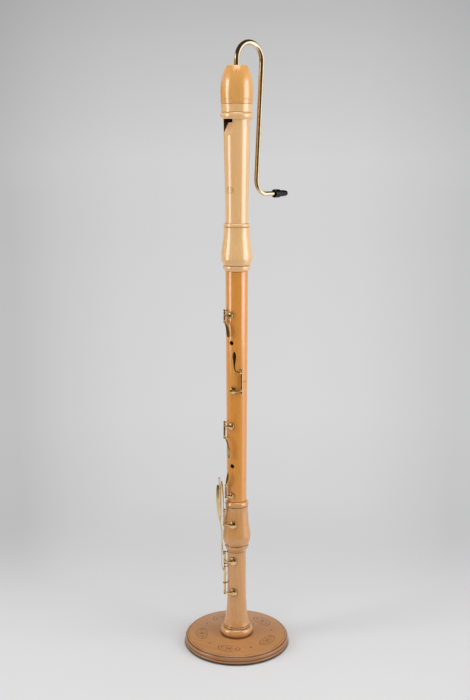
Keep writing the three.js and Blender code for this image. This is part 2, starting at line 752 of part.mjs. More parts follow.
function middleJoint() {
  const top = middleLength + upperTenonLength;
  const low = -lowerTenonLength;
  const topTenon = tenonPoints(upperTenonRadius, middleLength, top);
  const lowTenon = tenonPoints(lowerTenonRadius, low, 0);
  const points = [
    ...lowTenon, [middleLowRadius, 0], [middleTopRadius, middleLength], ...topTenon,
    [middleBoreTopRadius, top], [middleBoreLowRadius, low],
  ];
  let wood = solid(turned(points, woodSides));
  for (const key of middleKeys) {
    wood = cut(wood, keyCutters(key, middleLength, middleRadiusAt, middleBoreLowRadius));
  }
  const reach = middleTopRadius + cutOverrun;
  const holes = fingerHoles.map((hole) => (
    solid(radial(fingerHoleRadius, 0, reach, hole.turn, middleLength * hole.heightShare, smallSides))
  ));
  const thumbHeight = middleLength * thumbHole.heightShare;
  holes.push(solid(radial(thumbHoleRadius, 0, reach, thumbHole.turn, thumbHeight, smallSides)));
  return piece('middle_joint', cut(wood, [...holes, ...strapCutters()]), middleWood);
}

// Strap ring

const strapHeight = middleLength * strapHeightShare;
const strapSeat = Math.sqrt(middleRadiusAt(strapHeightShare) ** 2 - (strapPlateWidth / 2) ** 2);

function strapScrewHeights() {
  const reach = strapPlateHeight * strapScrewPlaceShare;
  return [strapHeight - reach, strapHeight + reach];
}

function strapCutters() {
  const width = strapPlateWidth + 2 * seatGap;
  const height = strapPlateHeight + 2 * seatGap;
  const depth = strapPlateWidth;
  const flat = new THREE.BoxGeometry(width, depth, height).translate(0, strapSeat + depth / 2, strapHeight);
  const tip = strapSeat - strapScrewReach;
  const holes = strapScrewHeights().map((screwHeight) => (
    solid(radial(strapScrewRadius + seatGap, tip, strapSeat + depth, 180, screwHeight, wireSides))
  ));
  return [solid(flat), ...holes];
}

function strapRing() {
  const low = strapSeat + seatGap;
  const face = low + strapPlateThickness;
  const plate = new THREE.BoxGeometry(strapPlateWidth, strapPlateThickness, strapPlateHeight);
  plate.translate(0, low + strapPlateThickness / 2, strapHeight);
  const loop = new THREE.TorusGeometry(strapRingRadius, strapWireRadius, stemSides, cupSides);
  loop.rotateY(Math.PI / 2).translate(0, face, strapHeight);
  const below = new THREE.BoxGeometry(strapPlateWidth, strapPlateHeight, strapPlateHeight);
  below.translate(0, low - strapPlateHeight / 2, strapHeight);
  const whole = join([solid(plate), solid(loop)]).subtract(solid(below));
  return piece('strap_ring', join([whole, ...strapScrews(face)]), brass);
}

function strapScrews(face) {
  const tip = strapSeat - strapScrewReach + seatGap;
  return strapScrewHeights().map((height) => {
    const shank = solid(radial(strapScrewRadius, tip, face, 180, height, wireSides));
    const top = face + strapScrewHeadHeight;
    const head = radial(strapScrewHeadRadius, face - joinOverlap, top, 180, height, smallSides);
    return shank.add(solid(head));
  });
}

// Head joint

function headJoint() {
  const socketFloor = headSocketDepth;
  const top = headLength + headTenonLength;
  const tenon = tenonPoints(headTenonRadius, headLength, top);
  const points = outlineOf(headOutlineShares, headRadius, headLength).concat(tenon);
  points.push([headBoreRadius, top], [headBoreRadius, socketFloor]);
  points.push([headSocketRadius, socketFloor], [headSocketRadius, 0]);
  const wood = solid(turned(points, woodSides));
  return piece('head_joint', cut(wood, [windowCutter(), windwayCutter()]), headWood);
}

const windowTop = headLength + headTenonLength - blockLength;
const lipHeight = windowTop - windowHeight;

function windowCutter() {
  const rampFoot = lipHeight - windowWidth * rampLengthShare;
  const reach = headRadius + cutOverrun;
  const surface = headRadius * rampSurfaceShare;
  const side = new THREE.Shape([
    new THREE.Vector2(reach, rampFoot), new THREE.Vector2(surface, rampFoot),
    new THREE.Vector2(lipDepth, lipHeight), new THREE.Vector2(windwayFloor / 2, lipHeight),
    new THREE.Vector2(windwayFloor / 2, windowTop), new THREE.Vector2(reach, windowTop),
  ]);
  const block = new THREE.ExtrudeGeometry(side, { depth: windowWidth, bevelEnabled: false });
  block.translate(0, 0, -windowWidth / 2);
  return solid(block.applyMatrix4(new THREE.Matrix4().makeBasis(outward(0), up, outward(-90))));
}

function windwayCutter() {
  const high = headLength + headTenonLength + cutOverrun;
  const low = windowTop - joinOverlap;
  const depth = windwayRoof - windwayFloor / 2;
  const slot = new THREE.BoxGeometry(windwayWidth, depth, high - low);
  return solid(slot.translate(0, -(windwayRoof - depth / 2), (low + high) / 2));
}

function block() {
  const radius = headBoreRadius - seatGap;
  const top = windowTop + blockLength - seatGap;
  const plug = solid(upright(radius, windowTop, top, woodSides));
  const flat = new THREE.BoxGeometry(2 * radius, radius, 2 * blockLength);
  flat.translate(0, -windwayFloor - radius / 2, windowTop + blockLength / 2);
  return piece('block', plug.subtract(solid(flat)), blockWood);
}

// Cap, bocal and mouthpiece

const capSocketDepth = headTenonLength + seatGap;

function cap() {
  const points = outlineOf(capOutlineShares, capRadius, capLength);
  const ceiling = capSocketDepth + capChamberHeight;
  const bore = bocalRootRadius + bocalCorkThickness + 2 * seatGap;
  points.push([bore, capLength], [bore, ceiling], [capChamberRadius, ceiling]);
  points.push([capChamberRadius, capSocketDepth], [capSocketRadius, capSocketDepth], [capSocketRadius, 0]);
  return piece('cap', turned(points, woodSides), capWood);
}

function bocalCork() {
  const inner = bocalRootRadius + seatGap;
  const outer = bocalRootRadius + bocalCorkThickness + seatGap;
  const high = capLength - seatGap;
  const low = high - bocalCorkLength;
  const section = [[inner, low], [outer, low], [outer, high], [inner, high]];
  return piece('bocal_cork', turned(section, smallSides), cork);
}

function bocalPath() {
  const start = capLength - bocalPlugDepth;
  const arcHeight = capLength + bocalRise;
  const lean = radians(bocalLean);
  const path = new THREE.Path();
  path.moveTo(0, start);
  path.lineTo(0, arcHeight);
  path.absarc(bocalArcRadius, arcHeight, bocalArcRadius, Math.PI, -lean, true);
  const drop = path.currentPoint.clone();
  drop.x -= bocalDrop * Math.sin(lean);
  drop.y -= bocalDrop * Math.cos(lean);
  path.lineTo(drop.x, drop.y);
  const centre = drop.clone();
  centre.x += bocalBendRadius * Math.cos(lean);
  centre.y -= bocalBendRadius * Math.sin(lean);
  path.absarc(centre.x, centre.y, bocalBendRadius, Math.PI - lean, Math.PI * 3 / 2, false);
  path.lineTo(centre.x + bocalTail, centre.y - bocalBendRadius);
  return path;
}

function bocalPlaces() {
  const places = [];
  for (const curve of bocalPath().curves) {
    const steps = curve.isEllipseCurve ? Math.ceil(Math.abs(curve.getLength()) / (2 * bocalTailRadius)) : 1;
    for (let i = places.length ? 1 : 0; i <= steps; i += 1) {
      places.push(curve.getPoint(i / steps));
    }
  }
  return places.map((point) => new THREE.Vector3(0, -point.x, point.y));
}

function bocalTube() {
  const points = bocalPlaces();
  const sides = points.map(() => outward(90));
  const sizes = points.map((point, i) => {
    const taper = (i / (points.length - 1)) ** bocalTaperPower;
    return 2 * THREE.MathUtils.lerp(bocalRootRadius, bocalTailRadius, taper);
  });
  const bores = points.map(() => 2 * bocalBoreRadius);
  const axis = points.map((point) => point.clone());
  axis[0].z -= cutOverrun;
  axis[axis.length - 1].y -= cutOverrun;
  const tube = solid(bar(points, sides, sizes, sizes, ring(smallSides)));
  const bore = solid(bar(axis, sides, bores, bores, ring(stemSides)));
  return piece('bocal_tube', cut(tube, [bore]), brass);
}

function bocalTailEnd() {
  const points = bocalPlaces();
  return points[points.length - 1];
}

function mouthpiece() {
  const points = outlineOf(mouthpieceOutlineShares, mouthpieceRadius, mouthpieceLength);
  const socket = bocalTailRadius + seatGap;
  points.push([mouthpieceBoreRadius, mouthpieceLength], [mouthpieceBoreRadius, mouthpieceSocketDepth]);
  points.push([socket, mouthpieceSocketDepth], [socket, 0]);
  const mesh = piece('mouthpiece', turned(points, smallSides).rotateX(Math.PI / 2), blackPlastic);
  const end = bocalTailEnd();
  mesh.position.set(0, end.y + mouthpieceSocketDepth - seatGap, end.z);
  return mesh;
}

// The whole recorder on its stand

const recorder = new THREE.Group();
recorder.add(standFelt(), standDisc(), standPeg(), standScrew());

const foot = new THREE.Group();
foot.position.z = footBottom;
foot.add(footJoint());
addKeys(foot, footKeys, footLength, footRadiusAt);
recorder.add(foot);

const middle = new THREE.Group();
middle.position.z = middleBottom;
middle.add(middleJoint(), strapRing());
const middleTop = middleLength + upperTenonLength;
middle.add(tenonCork('middle_upper_cork', upperTenonRadius, middleLength, middleTop, headSocketRadius));
middle.add(tenonCork('middle_lower_cork', lowerTenonRadius, -lowerTenonLength, 0, footSocketRadius));
addKeys(middle, middleKeys, middleLength, middleRadiusAt);
recorder.add(middle);

const head = new THREE.Group();
head.position.z = headBottom;
head.rotation.z = radians(headTurn);
head.add(headJoint(), block());
const headTop = headLength + headTenonLength;
head.add(tenonCork('head_cork', headTenonRadius, headLength, headTop, capSocketRadius));
recorder.add(head);

const capGroup = new THREE.Group();
capGroup.position.z = capBottom;
capGroup.rotation.z = radians(bocalTurn);
capGroup.add(cap(), bocalCork(), bocalTube(), mouthpiece());
recorder.add(capGroup);

export default recorder;
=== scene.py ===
import json
import math
import bmesh
import bpy
from mathutils import Matrix, Vector
from mathutils.geometry import interpolate_bezier

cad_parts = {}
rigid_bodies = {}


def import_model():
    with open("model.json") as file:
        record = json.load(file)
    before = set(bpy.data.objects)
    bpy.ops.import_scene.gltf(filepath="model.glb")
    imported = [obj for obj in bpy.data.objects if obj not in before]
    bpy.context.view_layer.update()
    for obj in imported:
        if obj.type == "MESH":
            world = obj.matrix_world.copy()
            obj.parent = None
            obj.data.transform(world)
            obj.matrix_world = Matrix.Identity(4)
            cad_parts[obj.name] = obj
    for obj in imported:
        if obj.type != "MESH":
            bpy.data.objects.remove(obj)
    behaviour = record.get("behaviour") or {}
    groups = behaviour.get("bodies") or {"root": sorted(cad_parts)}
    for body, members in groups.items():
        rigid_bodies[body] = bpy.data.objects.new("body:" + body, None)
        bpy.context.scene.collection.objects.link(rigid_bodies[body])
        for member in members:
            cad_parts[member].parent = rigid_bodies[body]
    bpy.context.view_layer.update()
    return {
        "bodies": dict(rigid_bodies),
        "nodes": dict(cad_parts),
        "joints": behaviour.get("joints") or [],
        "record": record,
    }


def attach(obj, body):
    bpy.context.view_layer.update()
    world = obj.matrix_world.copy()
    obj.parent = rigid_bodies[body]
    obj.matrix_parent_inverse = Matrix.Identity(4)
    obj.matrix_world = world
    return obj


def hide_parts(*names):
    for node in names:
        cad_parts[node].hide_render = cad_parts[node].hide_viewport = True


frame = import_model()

# Great bass recorder on its wooden floor stand, put together from the floor up. Metres, +Z up.
# A turn is an angle in degrees about the upright axis: 0 faces -Y, and it grows towards +X.

# The camera stands a little to the right of the finger holes, at chest height. It looks slightly
# down through a normal lens, and swings a hair to the left of the recorder.
camera_turn = 29.0
camera_distance = 2.16
camera_height = 1.134
camera_dip = 11.1
camera_swing = 0.106


def spot_at(turn, distance, height):
    """The place at this turn, this far out from the upright axis and this high."""
    return Vector((distance * math.sin(math.radians(turn)), -distance * math.cos(math.radians(turn)), height))


camera = bpy.data.cameras.new("camera")
camera.lens = 50
camera_object = bpy.data.objects.new("camera", camera)
camera_object.location = spot_at(camera_turn, camera_distance, camera_height)
camera_object.rotation_euler = (math.radians(90 - camera_dip), 0, math.radians(camera_turn + camera_swing))
bpy.context.scene.collection.objects.link(camera_object)
bpy.context.scene.camera = camera_object
bpy.context.scene.view_settings.view_transform = "Standard"

# The floor is one wide sheet of pale paper. Near the stand it is a plain matt surface that takes
# the shadow. Further out it turns into the studio's soft grey, which the world carries on above.


def thing_of(bm, name):
    """Turns a finished bmesh into an object of the scene."""
    data = bpy.data.meshes.new(name)
    bm.to_mesh(data)
    bm.free()
    thing = bpy.data.objects.new(name, data)
    bpy.context.scene.collection.objects.link(thing)
    return thing


floor_circle = bmesh.new()
bmesh.ops.create_circle(floor_circle, cap_ends=True, segments=96, radius=40)
floor = thing_of(floor_circle, "floor")


def new_node(tree, kind, **values):
    node = tree.nodes.new(kind)
    for name, value in values.items():
        setattr(node, name, value)
    return node


def tune(node, **values):
    """Sets a node's inputs by their names, with _ for a space."""
    for name, value in values.items():
        node.inputs[name.replace("_", " ")].default_value = value


def link(source, target):
    source.id_data.links.new(source, target)


def fill(inputs, values):
    """Gives each input its value: a socket to link, a plain number or colour, or None to skip it."""
    for socket, value in zip(inputs, values):
        if isinstance(value, bpy.types.NodeSocket):
            link(value, socket)
        elif value is not None:
            socket.default_value = value


def colour(red, green, blue):
    """An sRGB colour in 0 to 255, as the linear numbers that the shaders take."""
    linear = []
    for part in (red, green, blue):
        share = part / 255
        linear.append(share / 12.92 if share <= 0.04045 else ((share + 0.055) / 1.055) ** 2.4)
    return (*linear, 1)


def maths(operation, first, second=None):
    tree = (first if isinstance(first, bpy.types.NodeSocket) else second).id_data
    node = new_node(tree, "ShaderNodeMath", operation=operation)
    fill(node.inputs, (first, second))
    return node.outputs[0]


def times(first, second):
    return maths("MULTIPLY", first, second)


def plus(first, second):
    return maths("ADD", first, second)


def minus(first, second):
    return maths("SUBTRACT", first, second)


def larger(first, second):
    return maths("MAXIMUM", first, second)


def vector_maths(operation, first, second=None):
    node = new_node(first.id_data, "ShaderNodeVectorMath", operation=operation)
    fill(node.inputs, (first, second))
    return node.outputs["Value" if operation in ("LENGTH", "DOT_PRODUCT") else "Vector"]


def ramp(source, stops):
    node = new_node(source.id_data, "ShaderNodeValToRGB")
    stretch = node.color_ramp.elements
    while len(stretch) < len(stops):
        stretch.new(0.5)
    for element, (position, shade) in zip(stretch, stops):
        element.position = position
        element.color = shade
    link(source, node.inputs[0])
    return node.outputs["Color"]


def grey_ramp(source, *stops):
    return ramp(source, [(position, colour(level, level, level)) for position, level in stops])


def mixed(share, first, second):
    """Mixes two colours, each a socket or a plain colour, by a share that is a socket."""
    node = new_node(share.id_data, "ShaderNodeMix", data_type="RGBA")
    fill((node.inputs[0], node.inputs[6], node.inputs[7]), (share, first, second))
    return node.outputs[2]


def both_shaders(share, first, second):
    node = new_node(share.id_data, "ShaderNodeMixShader")
    fill(node.inputs, (share, first.outputs[0], second.outputs[0]))
    return node.outputs[0]


def between(source, low, high):
    """0 below low, 1 above high, and smooth between. Where low is the larger, it falls instead."""
    node = new_node(source.id_data, "ShaderNodeMapRange", interpolation_type="SMOOTHSTEP")
    tune(node, From_Min=low, From_Max=high)
    link(source, node.inputs["Value"])
    return node.outputs["Result"]


def side_fall(share):
    """The room's light falls off to both sides: share is sideways over forwards from the tripod."""
    return ramp(plus(times(share, 2), 0.5), [(position, (level, level, level, 1)) for position, level in (
        (0.037, 0.775), (0.14, 0.88), (0.264, 0.955), (0.387, 0.985), (0.634, 1.0), (0.757, 0.98),
        (0.88, 0.91), (0.963, 0.85))])


def in_metal(right, towards, left_side, left_panel, behind_left=(206, 206, 204)):
    """What polished metal mirrors all round: a dark room behind the camera, and pale panels beside it."""
    backdrop, right_panel = (216, 216, 214), (300, 302, 310)
    around = maths("DIVIDE", maths("ARCTAN2", right, towards), math.tau)
    return ramp(plus(around, 0.5), [(0.5 + turn / 360, colour(*shade)) for turn, shade in (
        (-180, backdrop), (-155, behind_left), (-130, behind_left), (-100, left_side), (-83, left_panel),
        (-60, left_panel), (-50, (138, 110, 80)), (-34, (122, 96, 66)), (-24, (42, 36, 28)),
        (2, (36, 31, 26)), (22, (98, 84, 64)), (50, (132, 120, 102)), (61, (150, 142, 128)),
        (66, right_panel), (97, right_panel), (103, backdrop), (180, backdrop))])


paper = bpy.data.materials.new("floor_paper")
paper.use_nodes = True
tree = paper.node_tree
tree.nodes.clear()
place = new_node(tree, "ShaderNodeTexCoord").outputs["Object"]
to_right, to_back = spot_at(camera_turn + 90, 1, 0), spot_at(camera_turn + 180, 1, 0)
away = vector_maths("LENGTH", place)
across = vector_maths("DOT_PRODUCT", place, to_right)
beyond = vector_maths("DOT_PRODUCT", place, to_back)
matt = new_node(tree, "ShaderNodeBsdfPrincipled")
# The paper's colour is painted a little darker towards the right, to even out how the lamps light it.
paleness = grey_ramp(
    plus(maths("DIVIDE", across, 1.2), 0.5), (0.08, 225), (0.3, 225), (0.5, 226), (0.7, 225), (0.92, 221))
# Right round the disc the paper is painted darker, as a painted shadow under the disc's overhanging edge.
painted_disc_shadow = between(away, 0.127, 0.1225)
link(mixed(painted_disc_shadow, paleness, colour(146, 140, 134)), matt.inputs["Base Color"])
tune(matt, Roughness=0.85, Specular_IOR_Level=0.2)
path = new_node(tree, "ShaderNodeLightPath").outputs
glow = new_node(tree, "ShaderNodeEmission")
distant = grey_ramp(
    maths("DIVIDE", away, 12), (0.0, 217), (0.05, 212), (0.09, 212), (0.18, 216), (0.5, 214), (1.0, 212))
mirrored = in_metal(across, times(beyond, -1), (128, 122, 112), (88, 80, 68))
link(mixed(path["Is Glossy Ray"], distant, mirrored), glow.inputs["Color"])
sideways = maths("DIVIDE", across, larger(plus(beyond, camera_distance), 1.8))
behind = between(maths("DIVIDE", beyond, larger(away, 0.01)), 0.15, 0.7)
fall = mixed(behind, (1, 1, 1, 1), side_fall(sideways))
link(larger(path["Is Glossy Ray"], fall), glow.inputs["Strength"])
seen = times(path["Is Camera Ray"], between(away, 0.35, 1.1))
in_brass = times(path["Is Glossy Ray"], between(away, 0.75, 1.25))
sheet = new_node(tree, "ShaderNodeOutputMaterial")
link(both_shaders(larger(seen, in_brass), matt, glow), sheet.inputs["Surface"])
floor.data.materials.append(paper)

# Above the horizon the studio's back wall goes from light to middle grey. The room's own light on
# the object is weaker and even, and polished metal mirrors the dark half of the room round the camera.
room = bpy.data.worlds.new("studio")
bpy.context.scene.world = room
room.use_nodes = True
tree = room.node_tree
tree.nodes.clear()
aim = new_node(tree, "ShaderNodeTexCoord").outputs["Generated"]


def parted(source):
    """A vector's parts, to be taken by X, Y or Z."""
    node = new_node(source.id_data, "ShaderNodeSeparateXYZ")
    link(source, node.inputs[0])
    return node.outputs


height = parted(aim)["Z"]
wall = grey_ramp(height, (0.0, 212), (0.058, 204), (0.106, 197), (0.146, 189), (0.6, 150))
across = vector_maths("DOT_PRODUCT", aim, to_right)
facing = vector_maths("DOT_PRODUCT", aim, spot_at(camera_turn, 1, 0))
mirrored = in_metal(across, facing, (200, 200, 198), (330, 330, 336))
woodwork = in_metal(across, facing, *[(164, 120, 68)] * 3)
level_with_eye = times(between(height, -0.12, -0.03), between(height, 0.2, 0.11))
mirrored = mixed(level_with_eye, mirrored, woodwork)
mirrored = mixed(between(height, 0.25, 0.6), mirrored, colour(62, 56, 48))
path = new_node(tree, "ShaderNodeLightPath").outputs
backdrop = new_node(tree, "ShaderNodeBackground")
link(mixed(path["Is Glossy Ray"], wall, mirrored), backdrop.inputs["Color"])
fall = mixed(between(facing, -0.15, -0.7), (1, 1, 1, 1), side_fall(across))
link(larger(path["Is Glossy Ray"], fall), backdrop.inputs["Strength"])
seen = larger(path["Is Camera Ray"], path["Is Glossy Ray"])
even = new_node(tree, "ShaderNodeBackground")
tune(even, Color=colour(238, 238, 240), Strength=0.4)
sky = new_node(tree, "ShaderNodeOutputWorld")
link(both_shaders(seen, even, backdrop), sky.inputs["Surface"])

# Two tall soft lamps stand left and right of the camera, and draw the two long highlights down
# every turned joint. A wide one hangs overhead.


def lamp(name, turn, distance, height, width, tall, power):
    """A soft lamp at this place, turned to the middle of the recorder."""
    light = bpy.data.lights.new(name, "AREA")
    light.shape = "RECTANGLE"
    light.size = width
    light.size_y = tall
    light.energy = power
    thing = bpy.data.objects.new(name, light)
    thing.location = spot_at(turn, distance, height)
    thing.rotation_euler = (thing.location - Vector((0, 0, 0.75))).to_track_quat("Z", "Y").to_euler()
    thing.visible_camera = False
    bpy.context.scene.collection.objects.link(thing)
    return thing


left_lamp = lamp("left_lamp", camera_turn - 72, 1.7, 1.1, 0.56, 1.5, 13.8)
right_lamp = lamp("right_lamp", camera_turn + 69, 1.7, 1.1, 1.15, 1.5, 18.2)
top_lamp = lamp("top_lamp", camera_turn, 0.5, 3.0, 1.6, 1.6, 28)

# Stand. A thick disc and an upright peg, both turned from one board of plain beech, with felt glued
# underneath to spare the floor and one screw up into the peg. The recorder's foot drops over the peg.
# From here on sizes are written in millimetres, and mm turns them into metres.
mm = 0.001


def node_group(name, inputs, outputs):
    """A node group with these inputs and outputs, each a name and a kind, and its two ends."""
    group = bpy.data.node_groups.new(name, "ShaderNodeTree")
    for in_out, sockets in (("INPUT", inputs), ("OUTPUT", outputs)):
        for socket, kind in sockets.items():
            group.interface.new_socket(name=socket, in_out=in_out, socket_type="NodeSocket" + kind)
    given = new_node(group, "NodeGroupInput").outputs
    made = new_node(group, "NodeGroupOutput").inputs
    return group, given, made


def mapped(source, **values):
    """Coordinates turned, or squeezed along one axis so that a pattern runs along the billet."""
    node = new_node(source.id_data, "ShaderNodeMapping")
    tune(node, **values)
    link(source, node.inputs["Vector"])
    return node.outputs[0]


def noise(source, scale, detail=3.0, roughness=0.5, distortion=0.0):
    node = new_node(source.id_data, "ShaderNodeTexNoise")
    tune(node, Scale=scale, Detail=detail, Roughness=roughness, Distortion=distortion)
    link(source, node.inputs["Vector"])
    return node.outputs["Fac"]


surface = {"Color": "Color", "Roughness": "Float", "Height": "Float"}
wood_grain, given, made = node_group("turned_wood_grain", {
    "Place": "Vector", "Wood": "Color", "Dark Ring": "Color", "Pale Streak": "Color",
    "Ring Spacing": "Float", "Pores": "Float", "Gloss": "Float"}, surface)
billet = mapped(given["Place"], Scale=(1, 1, 0.06))
from_heart = vector_maths("MULTIPLY", vector_maths("ADD", billet, (0.071, 0.052, 0)), (1, 1, 0.35))
years = maths("DIVIDE", vector_maths("LENGTH", from_heart), given["Ring Spacing"])
years = plus(years, times(noise(billet, 34, 2), 2.6))
ring = maths("POWER", maths("FRACT", years), 3)
streak = noise(mapped(given["Place"], Scale=(1, 1, 0.022)), 520, 4, 0.62)
cloud = noise(mapped(given["Place"], Scale=(1, 1, 0.2)), 22, 3)
pore = noise(mapped(given["Place"], Scale=(1, 1, 0.05)), 1500, 2)
pore = times(between(pore, 0.6, 0.7), given["Pores"])
body = mixed(between(streak, 0.3, 0.75), given["Wood"], given["Pale Streak"])
body = mixed(times(between(cloud, 0.35, 0.7), 0.45), body, given["Wood"])
body = mixed(times(ring, 0.5), body, given["Dark Ring"])
link(mixed(times(pore, 0.7), body, given["Dark Ring"]), made["Color"])
link(plus(plus(given["Gloss"], times(streak, 0.16)), times(pore, 0.25)), made["Roughness"])
link(minus(times(streak, 0.35), pore), made["Height"])


def finish_of(material):
    """A material's shader, and its Object coordinates."""
    tree = material.node_tree
    return tree.nodes["Principled BSDF"], new_node(tree, "ShaderNodeTexCoord").outputs["Object"]


def new_material(name):
    material = bpy.data.materials.new(name)
    material.use_nodes = True
    return material, *finish_of(material)


def bumped(shader, relief, strength, depth):
    node = new_node(relief.id_data, "ShaderNodeBump")
    tune(node, Strength=strength, Distance=depth)
    link(relief, node.inputs["Height"])
    link(node.outputs[0], shader.inputs["Normal"])


def grouped(shader, place, group, strength, depth, **values):
    """Gives the shader a node group's colour, roughness and relief."""
    node = new_node(place.id_data, "ShaderNodeGroup", node_tree=group)
    tune(node, **values)
    link(place, node.inputs["Place"])
    link(node.outputs["Color"], shader.inputs["Base Color"])
    link(node.outputs["Roughness"], shader.inputs["Roughness"])
    bumped(shader, node.outputs["Height"], strength, depth)


def wood(name, plain, dark, pale, rings, pores, gloss, coat, along=(0, 0, 0)):
    """An oiled and polished turned wood. along turns the grain off the upright."""
    material, shader, place = new_material(name)
    grouped(
        shader, mapped(place, Rotation=along), wood_grain, 0.25, 0.0001, Wood=colour(*plain),
        Dark_Ring=colour(*dark), Pale_Streak=colour(*pale), Ring_Spacing=rings, Pores=pores, Gloss=gloss)
    tune(shader, Coat_Weight=coat, Coat_Roughness=0.2, Coat_IOR=1.72, Specular_IOR_Level=0.2)
    return material


def painted(shader, share, shade):
    """Lays a colour over the shader's own, where share is 1."""
    plain = shader.inputs["Base Color"].links[0].from_socket
    link(mixed(share, plain, colour(*shade)), shader.inputs["Base Color"])


def line_at(value, middle, half):
    """1 where the value is within half of middle, with soft sides."""
    off = maths("ABSOLUTE", minus(value, middle))
    return minus(1, between(off, half * 0.5, half * 1.5))


def from_axis(place):
    return vector_maths("LENGTH", vector_maths("MULTIPLY", place, (1, 1, 0)))


def paint_shade(material, grooves, half, shade, strength, below=None, core=None):
    """Paints shade into the turned grooves at these heights, a contact shade along the lowest edge, and shade
    inside the bore.
    """
    shader, place = finish_of(material)
    height = parted(place)["Z"]
    lines = [line_at(height, groove * mm, half * mm) for groove in grooves]
    for line in lines[1:]:
        lines[0] = larger(lines[0], line)
    whole = times(lines[0], strength)
    if below is not None:
        whole = larger(whole, between(height, (below + 0.5) * mm, (below - 0.3) * mm))
    if core is not None:
        whole = larger(whole, between(from_axis(place), (core + 0.4) * mm, (core - 0.4) * mm))
    painted(shader, whole, shade)


def drawn_outline(*runs):
    """A smooth line through [radius, height] points in millimetres. Each list goes on from the end of
    the one before it, with a corner there."""
    line, last = [], []
    for run in runs:
        knots = [Vector((radius, 0, height)) * mm for radius, height in [*last, *run]]
        last = run[-1:]
        steps = 2 if len(knots) == 2 else 5
        for i in range(len(knots) - 1):
            before = knots[max(i - 1, 0)]
            after = knots[min(i + 2, len(knots) - 1)]
            span = (knots[i + 1] - knots[i]).length
            out = (knots[i + 1] - before).normalized() * span / 3
            back = (after - knots[i]).normalized() * span / 3
            curve = interpolate_bezier(knots[i], knots[i] + out, knots[i + 1] - back, knots[i + 1], steps)
            line += curve if not line else curve[1:]
    return line


def soften_edges(bm, angle=32):
    """Smooth shading, with the turned corners kept crisp."""
    bmesh.ops.remove_doubles(bm, verts=bm.verts, dist=0.004 * mm)
    bmesh.ops.recalc_face_normals(bm, faces=bm.faces)
    for face in bm.faces:
        face.smooth = True
    for edge in bm.edges:
        edge.smooth = len(edge.link_faces) == 2 and edge.calc_face_angle(0) < math.radians(angle)


def turned(outline, steps=112):
    """Spins an outline about the upright axis, as a lathe cuts it."""
    bm = bmesh.new()
    verts = [bm.verts.new(point) for point in outline]
    edges = [bm.edges.new(pair) for pair in zip(verts, verts[1:])]
    if (outline[0] - outline[-1]).length > mm / 100:
        edges.append(bm.edges.new((verts[-1], verts[0])))
    bmesh.ops.spin(
        bm, geom=verts + edges, cent=(0, 0, 0), axis=(0, 0, 1), angle=math.tau, steps=steps,
        use_merge=True, use_duplicate=False)
    bmesh.ops.remove_doubles(bm, verts=bm.verts, dist=0.004 * mm)
    bmesh.ops.dissolve_degenerate(bm, dist=0.001 * mm, edges=bm.edges)
    flats = [edge for edge in bm.edges if not edge.link_faces]
    bmesh.ops.delete(bm, geom=flats, context="EDGES")
    soften_edges(bm)
    return bm


def put(bm, name, material, body, slot, *nodes):
    """Makes the mesh an object that rides its body and stands in for its CAD nodes."""
    thing = thing_of(bm, name)
    thing.data.materials.append(material)
    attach(thing, body)
    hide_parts(*nodes)
    return thing


# The disc carries five plain leaf rosettes and five dots, burned in around its top.
stand_wood = wood(
    "stand_wood", (189, 132, 80), (148, 96, 54), (205, 150, 98), 0.0026, 0.7, 0.3, 0.45,
    along=(0, math.radians(90), math.radians(-52)))
shader, place = finish_of(stand_wood)
spread = parted(place)
angle = maths("ARCTAN2", spread["Y"], spread["X"])
away = from_axis(place)


def fifth(angle, first):
    """The angle from the nearest of five places round the disc, in radians."""
    share = maths("FRACT", plus(maths("DIVIDE", plus(angle, math.tau * 2 - first), math.tau / 5), 0.5))
    return times(minus(share, 0.5), math.tau / 5)


def oval(sideways, inwards, half_width, half_height):
    """1 on the oval's rim, and less inside."""
    squares = [maths("POWER", maths("ABSOLUTE", maths("DIVIDE", off, half)), 2)
               for off, half in ((sideways, half_width), (inwards, half_height))]
    return maths("SQRT", plus(*squares))


def petals(sideways, inwards, reach, swing):
    """How far out in its oval the line of six petals runs."""
    return plus(reach, times(maths("COSINE", times(maths("ARCTAN2", inwards, sideways), 6)), swing))


ring_radius = 84 * mm
first_mark = math.radians(16.6 - 90)
sideways = times(fifth(angle, first_mark), ring_radius)
inwards = minus(away, ring_radius)
rim = oval(sideways, inwards, 26 * mm, 13 * mm)
marks = larger(line_at(rim, 1, 0.04), line_at(minus(rim, petals(sideways, inwards, 0.52, 0.2)), 0, 0.05))
marks = larger(marks, line_at(rim, 0.12, 0.06))
dot_side = times(fifth(angle, first_mark + math.tau / 10), ring_radius)
marks = larger(marks, minus(1, between(oval(dot_side, inwards, 2.4 * mm, 2.4 * mm), 0.7, 1.1)))
marks = times(marks, between(spread["Z"], 20.6 * mm, 20.9 * mm))
# The groove round the top of the disc's edge is painted dark as its shade, and goes in with the burned marks.
groove = times(line_at(away, 114.8 * mm, 0.5 * mm), 0.8)
marks = larger(marks, times(groove, between(spread["Z"], 19.0 * mm, 19.5 * mm)))
# The disc's side below its top is painted darker, as the shade it stands in.
side_shade = between(spread["Z"], 20.6 * mm, 19.4 * mm)
# A ring where the foot's end stands is painted darker, as the contact shade under it.
shade_round_foot = times(between(away, 42 * mm, 37 * mm), between(away, 33 * mm, 37 * mm))
painted(shader, times(side_shade, 0.45), (142, 92, 56))
painted(shader, times(marks, 0.85), (66, 40, 27))
painted(shader, times(shade_round_foot, 0.6), (80, 46, 24))
# Painted shade in the two grooves round the disc's edge, and a painted contact shade along its bottom.
paint_shade(stand_wood, (8.8, 18.0), 0.6, (34, 20, 12), 0.75, below=3.9)

